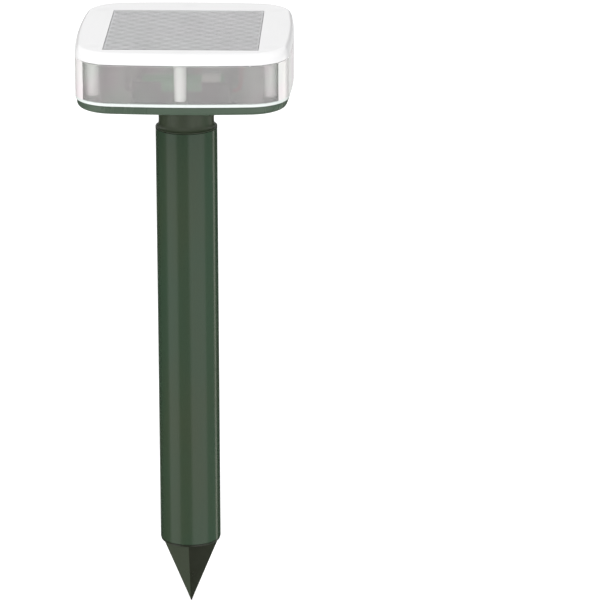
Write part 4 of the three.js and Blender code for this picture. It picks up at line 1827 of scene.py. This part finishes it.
@dataclass
class Electronics(HeadPart):
    """The main board with its parts, and the four screws that hold it."""

    finishes: Finishes
    screws: ScrewMaker
    base: float
    width: float = 66.0
    depth: float = 36.0
    y: float = 34.0
    bottom: float = 13.0
    thickness: float = 1.6
    standoffs: tuple[Pair, ...] = ((-28, 21), (28, 21), (-28, 47), (28, 47))
    chip: Pair = (-20, 34)
    capacitor: Pair = (18, 26)
    inductor: Pair = (-18, 24)
    diode: Pair = (12, 40)
    button_y: float = 42.0
    pads: tuple[Pair, ...] = ((8, 29), (31, 19.2), (10, 20.5))

    def build(self) -> None:
        """Builds the board, its parts and its screws."""
        look = self.finishes
        top = self.bottom + self.thickness
        seat = top + 0.1
        self.keep(
            "main_board_printed", self.printed_board(top), [look.board, look.solder, look.black],
            "circuit_board", "main_board",
        )
        self.keep(
            "drive_chip_moulded", self.chip_shape().moved(*self.chip, seat), [look.black, look.solder],
            "black_plastic", "drive_chip",
        )
        self.keep(
            "timing_capacitor_sleeved", self.capacitor_shape().moved(*self.capacitor, seat),
            [look.capacitor, look.steel], "capacitor_sleeve", "timing_capacitor",
        )
        self.keep(
            "boost_inductor_wound", self.inductor_shape().moved(*self.inductor, seat),
            [look.black, look.copper], "black_plastic", "boost_inductor",
        )
        self.keep(
            "charge_diode_glass", self.diode_shape().moved(*self.diode, seat),
            [look.black, look.mark, look.steel], "black_plastic", "charge_diode",
        )
        self.keep(
            "switch_body_moulded", self.switch_shape().moved(0, self.button_y), [look.black, look.steel],
            "black_plastic", "switch_body",
        )
        pattern = self.screws.pattern(2.4, 1.5, 0.95, 6)
        seats = [(x, y, seat) for x, y in self.standoffs]
        self.keep(
            "board_screws", self.screws.row(pattern, seats, down=True), [look.steel], "steel",
            *[f"board_screw_{index}" for index in range(1, 5)],
        )

    def printed_board(self, top: float) -> Shape:
        """The board with its holes, solder pads and small parts.

        Args:
            top: The height of its upper face.

        Returns:
            The shape.
        """
        holes = [Shape.bar(1.3, self.bottom - 1, top + 1, 24).moved(x, y) for x, y in self.standoffs]
        sheet = Shape.block(self.width, self.depth, self.bottom, top, 0.12).moved(0, self.y).combined(
            cut=holes
        )
        pads = []
        for x, y in self.pads:
            for side in (-1, 1):
                rim = [(0.9, top), (1.7, top), (1.6, top + 0.06), (0.9, top + 0.06)]
                pads.append(Shape.swept(circle(20), rim, looped=True).moved(side * x, y).painted(1))
        body = Shape.block(1.5, 1.2, 0, 0.55, 0.05).painted(2)
        ends = [Shape.block(0.35, 1.24, 0, 0.58, 0.04).moved(side * 0.9).painted(1) for side in (-1, 1)]
        body.joined(ends)
        small = []
        for column in range(5):
            for row in (0, 1):
                copy = Shape().joined([body])
                small.append(copy.moved(-6 + column * 3.4, 24.5 + row * 2.6, top + 0.01))
        return sheet.joined([*pads, *small])

    def chip_shape(self) -> Shape:
        """The chip: its body with a notch, and a row of bent legs on each side.

        Returns:
            The shape.
        """
        dot = Shape.bar(0.45, 2.3, 3, 20).moved(-3.9, -1.8)
        body = Shape.block(10, 5.6, 0.4, 2.4, 0.16).combined(cut=[dot])
        foot = Shape.block(0.6, 0.9, 0.0, 0.22, 0.03).moved(0, -3.55)
        shin = Shape.block(0.58, 0.22, 0.02, 1.2, 0.03).moved(0, -3.2)
        knee = Shape.block(0.6, 0.6, 1.0, 1.2, 0.03).moved(0, -2.95)
        leg = foot.joined([shin, knee])
        places = [(x, 0.0, 0.0) for x in (-3.75, -1.25, 1.25, 3.75)]
        scatter = self.screws.scatter
        rows = [
            scatter.place(leg, places, self.finishes.solder, (0, 0, spin)).painted(1) for spin in (0, 180)
        ]
        return body.joined(rows)

    def capacitor_shape(self) -> Shape:
        """The capacitor: a sleeved can with a groove near its foot and a scored top.

        Returns:
            The shape.
        """
        can = [
            (0, 0), (3.8, 0), (4, 0.4), (4, 1), (3.6, 1.4), (4, 1.8), (4, 10.7), (3.75, 11), (3.3, 10.95),
            (3.2, 10.8), (0, 10.8),
        ]
        body = Shape.swept(circle(48), filleted(can, 0.2, 3, looped=False))
        score = Shape.block(4.6, 0.25, 10.72, 11.4)
        cross = Shape.block(0.25, 4.6, 10.71, 11.4)
        scored = body.combined(cut=[score]).combined(cut=[cross])
        return scored.painted(
            1, lambda centre: centre.z > 10.6 and Vector((centre.x, centre.y)).length < 3.25
        )

    def inductor_shape(self) -> Shape:
        """The inductor: a ferrite spool with its winding.

        Returns:
            The shape.
        """
        spool = [(0, 0), (4.5, 0), (4.5, 1), (3.2, 1.2), (3.2, 5.3), (4.5, 5.5), (4.5, 6.5), (0, 6.5)]
        body = Shape.swept(circle(48), filleted(spool, 0.2, 3, looped=False))
        sizes = {"Turns": 9.0, "Steps": 36, "Start Radius": 3.42, "End Radius": 3.42, "Height": 3.4}
        wire = Winding().wind(self.finishes.copper, **sizes, **{"Wire Radius": 0.18, "Wire Sides": 8})
        return body.joined([wire.moved(0, 0, 1.5).painted(1)])

    def diode_shape(self) -> Shape:
        """The diode: its body with a pale band, and wires bent down at both ends.

        Returns:
            The shape.
        """
        barrel = Shape.bar(1.4, -2.6, 2.6, 36, 0.3).turned(90, "Y").moved(0, 0, 1.8)
        ring = [(1.38, 1.2), (1.43, 1.2), (1.43, 1.9), (1.38, 1.9)]
        band = Shape.swept(circle(36), ring, looped=True).turned(90, "Y").moved(0, 0, 1.8).painted(1)
        route = [(-4.2, 0, 0), (-4.2, 0, 1.1), (-3.8, 0, 1.72), (-3.0, 0, 1.8), (-2.4, 0, 1.8)]
        wires = []
        for side in (1, -1):
            line = drawn_through([(side * x, y, z) for x, y, z in route], 5)
            wires.append(Shape.piped(line, 0.38, 10).painted(2))
        return barrel.joined([band, *wires])

    def switch_shape(self) -> Shape:
        """The push switch under the board, with its steel cover and its plunger.

        Returns:
            The shape.
        """
        body = Shape.block(8.4, 8.4, 8.6, 12.9, 0.2)
        cover = Shape.block(8.3, 8.3, 8.0, 8.55, 0.15).painted(1)
        plunger = Shape.bar(1.6, 7.0, 8.3, 32, 0.25)
        return body.joined([cover, plunger])


@dataclass
class BatteryPack(HeadPart):
    """The holder, the cell, its spring and its contact."""

    finishes: Finishes
    base: float
    length: float = 59.0
    depth: float = 18.0
    bottom: float = 2.5
    height: float = 13.0
    wall: float = 1.4
    y: float = -36.0
    cell_x: float = 1.0
    cell_radius: float = 7.1
    cell_length: float = 49.2
    nub: float = 2.6
    nub_length: float = 1.2

    def axis_height(self) -> float:
        """The height of the cell's axis."""
        return self.bottom + self.wall + 0.3 + self.cell_radius

    def build(self) -> None:
        """Builds the four pieces."""
        look = self.finishes
        top = self.bottom + self.height
        inside = 2 * self.wall
        cavity = Shape.block(self.length - inside, self.depth - inside, self.bottom + self.wall, top + 1)
        notch = Shape.block(24, self.depth + 2, self.bottom + 7, top + 1.2, 0.6)
        box = Shape.block(self.length, self.depth, self.bottom, top, 0.5)
        shell = box.combined(cut=[cavity]).combined(cut=[notch]).moved(0, self.y)
        self.keep("battery_holder_moulded", shell, [look.black], "black_plastic", "battery_holder")
        axis = self.axis_height()
        half = (self.cell_length + self.nub_length) / 2
        can = [(0, 0), (self.cell_radius - 0.7, 0), (self.cell_radius - 0.6, 0.25), (self.cell_radius, 0.5)]
        can += [(self.cell_radius, self.cell_length - 0.7), (self.cell_radius - 0.9, self.cell_length)]
        can += [
            (self.nub, self.cell_length), (self.nub, self.cell_length + self.nub_length),
            (0, self.cell_length + self.nub_length),
        ]
        cell = Shape.swept(circle(64), filleted(can, 0.3, 3, looped=False))
        cell.painted(1, lambda centre: centre.z < 0.2 or Vector((centre.x, centre.y)).length < self.nub + 0.4)
        cell.moved(0, 0, -half).turned(90, "Y").moved(self.cell_x, self.y, axis)
        self.keep(
            "battery_cell_sleeved", cell, [look.cell, look.steel], "cell_wrap", "battery_cell",
        )
        sizes = {"Turns": 3.25, "Steps": 48, "Start Radius": 4.6, "End Radius": 2.6, "Height": 3.0}
        spring = Winding().wind(look.steel, **sizes, **{"Wire Radius": 0.35, "Wire Sides": 10})
        spring.turned(90, "Y").moved(-27.6, self.y, axis)
        self.keep("battery_spring_wound", spring, [look.steel], "steel", "battery_spring")
        plate = Shape.block(0.4, 10, -5, 5, 0.1)
        dimple = Shape.bar(1.6, -0.15, 0.15, 32, 0.12).turned(90, "Y").moved(-0.14)
        contact = plate.joined([dimple]).moved(self.cell_x + half + 0.5, self.y, axis)
        self.keep("battery_contact_plate", contact, [look.steel], "steel", "battery_contact")


@dataclass
class Sounder(HeadPart):
    """The sounder inside the spigot: steel cup, magnet, coil, diaphragm, foam ring and grille."""

    finishes: Finishes
    base: float
    grille_radius: float = 16.0
    grille_bottom: float = -72.8
    grille_top: float = -70.8
    rim: Pair = (11.9, 13.3)
    rim_top: float = -67.2
    rings: tuple[tuple[int, float], ...] = ((6, 4.6), (8, 9.0))
    hole: float = 1.3

    def lathe(self, corners: Profile, edge: float, segments: int = 72) -> Shape:
        """A turned piece whose profile closes on the axis or on itself."""
        open_ended = corners[0][0] == 0
        return Shape.swept(
            circle(segments), filleted(corners, edge, 3, looped=not open_ended), looped=not open_ended
        )

    def build(self) -> None:
        """Builds the sounder's pieces."""
        look = self.finishes
        self.keep("sounder_cap_grille", self.grille(), [look.black], "black_plastic", "sounder_cap")
        ring = [(9.8, -66.8), (13.2, -66.8), (13.2, -64.7), (9.8, -64.7)]
        self.keep("sounder_ring_foam", self.lathe(ring, 0.4), [look.foam], "foam", "sounder_ring")
        film = [(0, -62.3), (5, -62.3), (6.5, -61.6), (7.2, -62.3), (7.6, -64.4), (13, -64.4)]
        film += [(13, -63.8), (8, -63.8), (7.7, -61.9), (6.5, -60.9), (5, -61.7), (0, -61.7)]
        self.keep(
            "sounder_diaphragm_film", self.lathe(film, 0.5), [look.film], "sounder_film",
            "sounder_diaphragm",
        )
        sizes = {"Turns": 17.0, "Steps": 40, "Start Radius": 5.98, "End Radius": 5.98, "Height": 5.9}
        wire = Winding().wind(look.copper, **sizes, **{"Wire Radius": 0.19, "Wire Sides": 6})
        former = self.lathe([(5.4, -60.5), (5.78, -60.5), (5.78, -54), (5.4, -54)], 0.05)
        coil = former.joined([wire.moved(0, 0, -60.2)])
        self.keep("sounder_coil_wound", coil, [look.copper], "copper", "sounder_coil", crease=60.0)
        self.keep(
            "sounder_magnet_ground", Shape.bar(4.6, -61.2, -50.3, 64, 0.4), [look.steel], "steel",
            "sounder_magnet",
        )
        cup = [
            (0, -48), (9.4, -48), (9.4, -61.9), (13.2, -61.9), (13.2, -63.4), (8.2, -63.4), (8.2, -50),
            (0, -50),
        ]
        frame = Shape.swept(circle(72), filleted(cup, 0.3, 3, looped=False))
        self.keep("sounder_frame_pressed", frame, [look.steel], "steel", "sounder_frame")

    def grille(self) -> Shape:
        """The perforated cap with the rim that fits the spigot's bore.

        Returns:
            The shape.
        """
        inner, outer = self.rim
        under = self.grille_top - 0.01
        disc = Shape.bar(self.grille_radius, self.grille_bottom, self.grille_top, 96, 0.35)
        sleeve = [(inner, under - 0.5), (outer, under - 0.5), (outer, self.rim_top), (inner, self.rim_top)]
        cap = disc.combined(add=[Shape.swept(circle(96), filleted(sleeve, 0.2, 2), looped=True)])
        (inner_count, inner_reach), (outer_count, outer_reach) = self.rings
        values = {
            "Hole Radius": self.hole,
            "Hole Sides": 24,
            "Height": (self.grille_bottom + self.grille_top) / 2,
            "Depth": 5.0,
            "Inner Count": inner_count,
            "Inner Radius": inner_reach,
            "Outer Count": outer_count,
            "Outer Radius": outer_reach,
            "Finish": self.finishes.black,
        }
        return Perforation().run(values, cap.data())


@dataclass
class Leads(HeadPart):
    """The six insulated leads: red ones on the right, black ones mirrored on the left."""

    finishes: Finishes
    base: float
    radius: float = 0.8
    routes: dict[str, tuple[Triple, ...]] = field(
        default_factory=lambda: {
            "solar_lead": ((1.4, 30, 36.1), (1.4, 30, 32), (4, 29.5, 26), (8, 29, 20), (8, 29, 14.9)),
            "battery_lead": (
                (30.6, -36, 8), (33.5, -33, 8.5), (34.5, -22, 11), (34, -4, 16), (32, 10, 20), (
                    31, 18.5, 19
                ), (31, 19.2, 14.9),
            ),
            "sounder_lead": (
                (4, 0, -47.6), (4, 0, -30), (5, 1, -8), (5.5, 3, 3), (7, 8, 11), (9, 14, 18), (10, 20, 18), (
                    10, 20.5, 14.9
                ),
            ),
        }
    )

    def build(self) -> None:
        """Builds the leads, each with a short bare end."""
        for name, route in self.routes.items():
            for side, word, finish in ((1, "red", self.finishes.red), (-1, "black", self.finishes.dark)):
                line = drawn_through([(side * x, y, height) for x, y, height in route], 9)
                wire = Shape.piped(line, self.radius, 14)
                tinned = Vector(route[-1]).z + 0.5
                wire.painted(1, lambda centre: centre.z < tinned and centre.y > 18)
                self.keep(
                    f"{name}_{word}_wire", wire, [finish, self.finishes.solder], f"{word}_lead",
                    f"{name}_{word}", crease=60.0,
                )


@dataclass
class PowerButton:
    """The rubber button under the tray: a dished cap, a flange and a stem."""

    finishes: Finishes
    base: float
    y: float = 42.0
    radius: float = 5.2
    flange: float = 6.8
    face: float = -2.0
    flange_bottom: float = 2.5
    stem: float = 1.8
    stem_top: float = 5.2

    def build(self) -> None:
        """Builds the button."""
        cap = [(0, self.face + 0.35), (self.radius * 0.45, self.face + 0.25), (self.radius - 1.2, self.face)]
        cap += [
            (self.radius, self.face), (self.radius, self.flange_bottom), (self.flange, self.flange_bottom)
        ]
        cap += [
            (self.flange, self.flange_bottom + 1), (self.stem, self.flange_bottom + 1),
            (self.stem, self.stem_top),
        ]
        cap += [(0, self.stem_top)]
        shape = Shape.swept(circle(72), filleted(cap, 0.5, 5, looped=False)).moved(0, self.y)
        Workshop.finish(
            "power_button_moulded", shape, [self.finishes.rubber], Body.BUTTON, "rubber",
            ["power_button"], self.base,
        )


# --- Studio ---


@dataclass
class Card:
    """A bright card round the stand that only shows in gloss: a strip of an upright drum.

    Its start and end are turns to the right of the camera's direction, in degrees.
    """

    name: str
    start: float
    end: float
    low: float
    high: float
    strength: float
    colour: Triple = (1.0, 1.0, 1.0)


@dataclass
class Studio:
    """The floor, the daylight, the gloss cards and the camera."""

    azimuth: float = 1.67
    elevation: float = 18.15
    roll: float = -0.094
    distance: float = 2.5
    lens: float = 241.5
    sensor: float = 36.0
    aim_height: float = 0.2
    aim_right: float = 0.0694
    aim_up: float = 0.00052
    daylight: float = 1.0
    drum_radius: float = 2.2
    cards: tuple[Card, ...] = (
        Card("card_left", -80, -37, -3.0, 0.12, 0.75), Card("card_right", 8, 71, -3.0, 0.12, 0.8),
        Card("card_teal", 71, 112, -1.1, 0.12, 0.28, (0.55, 1.0, 0.8)),
        Card("card_low", -135, -84, -3.0, -1.3, 0.6, (0.8, 1.0, 0.72)),
        Card("card_edge", 117, 126, -3.0, 0.12, 1.6, (1.0, 0.98, 0.88)),
        Card("card_back", 160, 205, -3.0, 0.12, 0.7), Card("card_sky", 0, 360, 0.72, 7.0, 0.95),
    )

    def build(self) -> None:
        """Builds the studio."""
        scene = bpy.context.scene
        scene.view_settings.view_transform = "Standard"
        world = bpy.data.worlds.new("daylight")
        world.use_nodes = True
        world.node_tree.nodes["Background"].inputs["Color"].default_value = (1, 1, 1, 1)
        world.node_tree.nodes["Background"].inputs["Strength"].default_value = self.daylight
        world.cycles_visibility.glossy = False
        scene.world = world
        self.floor()
        for card in self.cards:
            self.hang(card)
        self.lamp("key_lamp", -42, 48, 1.5, 1.1, 3.0)
        self.lamp("fill_lamp", -8, 12, 1.5, 1.1, 3.0)
        scene.camera = self.camera()

    def glow(self, name: str, colour: Triple, strength: float) -> Material:
        """A plain glowing material.

        Args:
            name: Its name.
            colour: Its colour.
            strength: Its brightness.

        Returns:
            The material.
        """
        made = bpy.data.materials.new(name)
        made.use_nodes = True
        nodes = made.node_tree.nodes
        nodes.clear()
        light = nodes.new("ShaderNodeEmission")
        light.inputs["Color"].default_value = (*colour, 1)
        light.inputs["Strength"].default_value = strength
        output = nodes.new("ShaderNodeOutputMaterial")
        made.node_tree.links.new(light.outputs[0], output.inputs["Surface"])
        return made

    def floor(self) -> None:
        """A large pale floor under the spike's tip."""
        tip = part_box("ground_spike")[0].z
        mesh = bmesh.new()
        bmesh.ops.create_grid(
            mesh, x_segments=8, y_segments=8, size=9.0, matrix=Matrix.Translation((0, 0, tip - 0.0003))
        )
        data = bpy.data.meshes.new("studio_floor")
        mesh.to_mesh(data)
        made = bpy.data.materials.new("floor_pale")
        made.use_nodes = True
        shader = made.node_tree.nodes["Principled BSDF"]
        shader.inputs["Base Color"].default_value = (0.93, 0.93, 0.93, 1)
        shader.inputs["Roughness"].default_value = 0.9
        shader.inputs["Specular IOR Level"].default_value = 0.0
        shader.inputs["Emission Color"].default_value = (1, 1, 1, 1)
        shader.inputs["Emission Strength"].default_value = 0.3
        data.materials.append(made)
        floor = Workshop.shown("studio_floor", data)
        floor.visible_glossy = False

    def direction(self, turn: float) -> Vector:
        """The level direction that lies a turn, in degrees, to the right of the camera's."""
        angle = math.radians(self.azimuth + turn)
        return Vector((math.sin(angle), -math.cos(angle), 0))

    def hang(self, card: Card) -> None:
        """Hangs one gloss card.

        Args:
            card: The card.
        """
        steps = max(4, round((card.end - card.start) / 5))
        mesh = bmesh.new()
        columns = []
        for step in range(steps + 1):
            place = self.direction(card.start + (card.end - card.start) * step / steps) * self.drum_radius
            columns.append([mesh.verts.new((place.x, place.y, height)) for height in (card.low, card.high)])
        for first, second in zip(columns, columns[1:]):
            mesh.faces.new((first[0], second[0], second[1], first[1]))
        data = bpy.data.meshes.new(card.name)
        mesh.to_mesh(data)
        data.materials.append(self.glow(card.name, card.colour, card.strength))
        hung = Workshop.shown(card.name, data)
        hung.visible_camera = False
        hung.visible_diffuse = False
        hung.visible_transmission = False
        hung.visible_shadow = False

    def lamp(self, name: str, turn: float, height: float, reach: float, size: float, power: float) -> None:
        """Adds a large soft lamp that points at the middle of the stake.

        Args:
            name: Its name.
            turn: Its turn to the right of the camera, in degrees.
            height: Its angle above the floor, in degrees.
            reach: Its distance in metres.
            size: Its side in metres.
            power: Its power in watts.
        """
        light = bpy.data.lights.new(name, "AREA")
        light.size = size
        light.energy = power
        lamp = bpy.data.objects.new(name, light)
        bpy.context.scene.collection.objects.link(lamp)
        rise = math.radians(height)
        away = self.direction(turn) * math.cos(rise) + Vector((0, 0, math.sin(rise)))
        lamp.location = Vector((0, 0, self.aim_height)) + away * reach
        lamp.rotation_euler = away.to_track_quat("Z", "Y").to_euler()
        lamp.visible_glossy = False
        lamp.visible_camera = False

    def camera(self) -> bpy.types.Object:
        """The camera.

        Returns:
            Its object.
        """
        data = bpy.data.cameras.new("camera")
        data.lens = self.lens
        data.sensor_width = self.sensor
        data.clip_start = 0.05
        data.clip_end = 60
        made = bpy.data.objects.new("camera", data)
        bpy.context.scene.collection.objects.link(made)
        rise = math.radians(self.elevation)
        level = self.direction(0)
        back = level * math.cos(rise) + Vector((0, 0, math.sin(rise)))
        right = Vector((-level.y, level.x, 0))
        up = back.cross(right)
        roll = math.radians(self.roll)
        across = right * math.cos(roll) + up * math.sin(roll)
        above = up * math.cos(roll) - right * math.sin(roll)
        place = Vector(
            (0, 0, self.aim_height)
        ) + back * self.distance + right * self.aim_right + up * self.aim_up
        turned = Matrix((across, above, back)).transposed().to_4x4()
        made.matrix_world = Matrix.Translation(place) @ turned
        return made


# --- Assembly ---


def main() -> None:
    """Builds every sub-assembly in order."""
    logging.basicConfig(level=logging.INFO, format="%(name)s: %(message)s")
    Studio().build()
    plan = HeadPlan()
    band_bottom = 5.4
    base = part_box("side_band")[0].z / METRES - band_bottom
    cell_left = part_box("battery_cell")[0].x / METRES
    capacitor_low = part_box("timing_capacitor")[0].z / METRES
    finishes = Finishes(plan.posts(), cell_left, capacitor_low)
    screws = ScrewMaker(Scatter(), finishes.steel)
    collar = Collar(finishes, screws, base)
    assemblies = (
        Stake(finishes), collar, Casing(finishes, screws, plan, collar, base), SolarPanel(finishes, base),
        Electronics(finishes, screws, base), BatteryPack(finishes, base), Sounder(finishes, base),
        Leads(finishes, base), PowerButton(finishes, base),
    )
    for assembly in assemblies:
        assembly.build()
        LOG.info("built %s", type(assembly).__name__)
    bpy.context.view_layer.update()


if __name__ == "__main__":
    main()
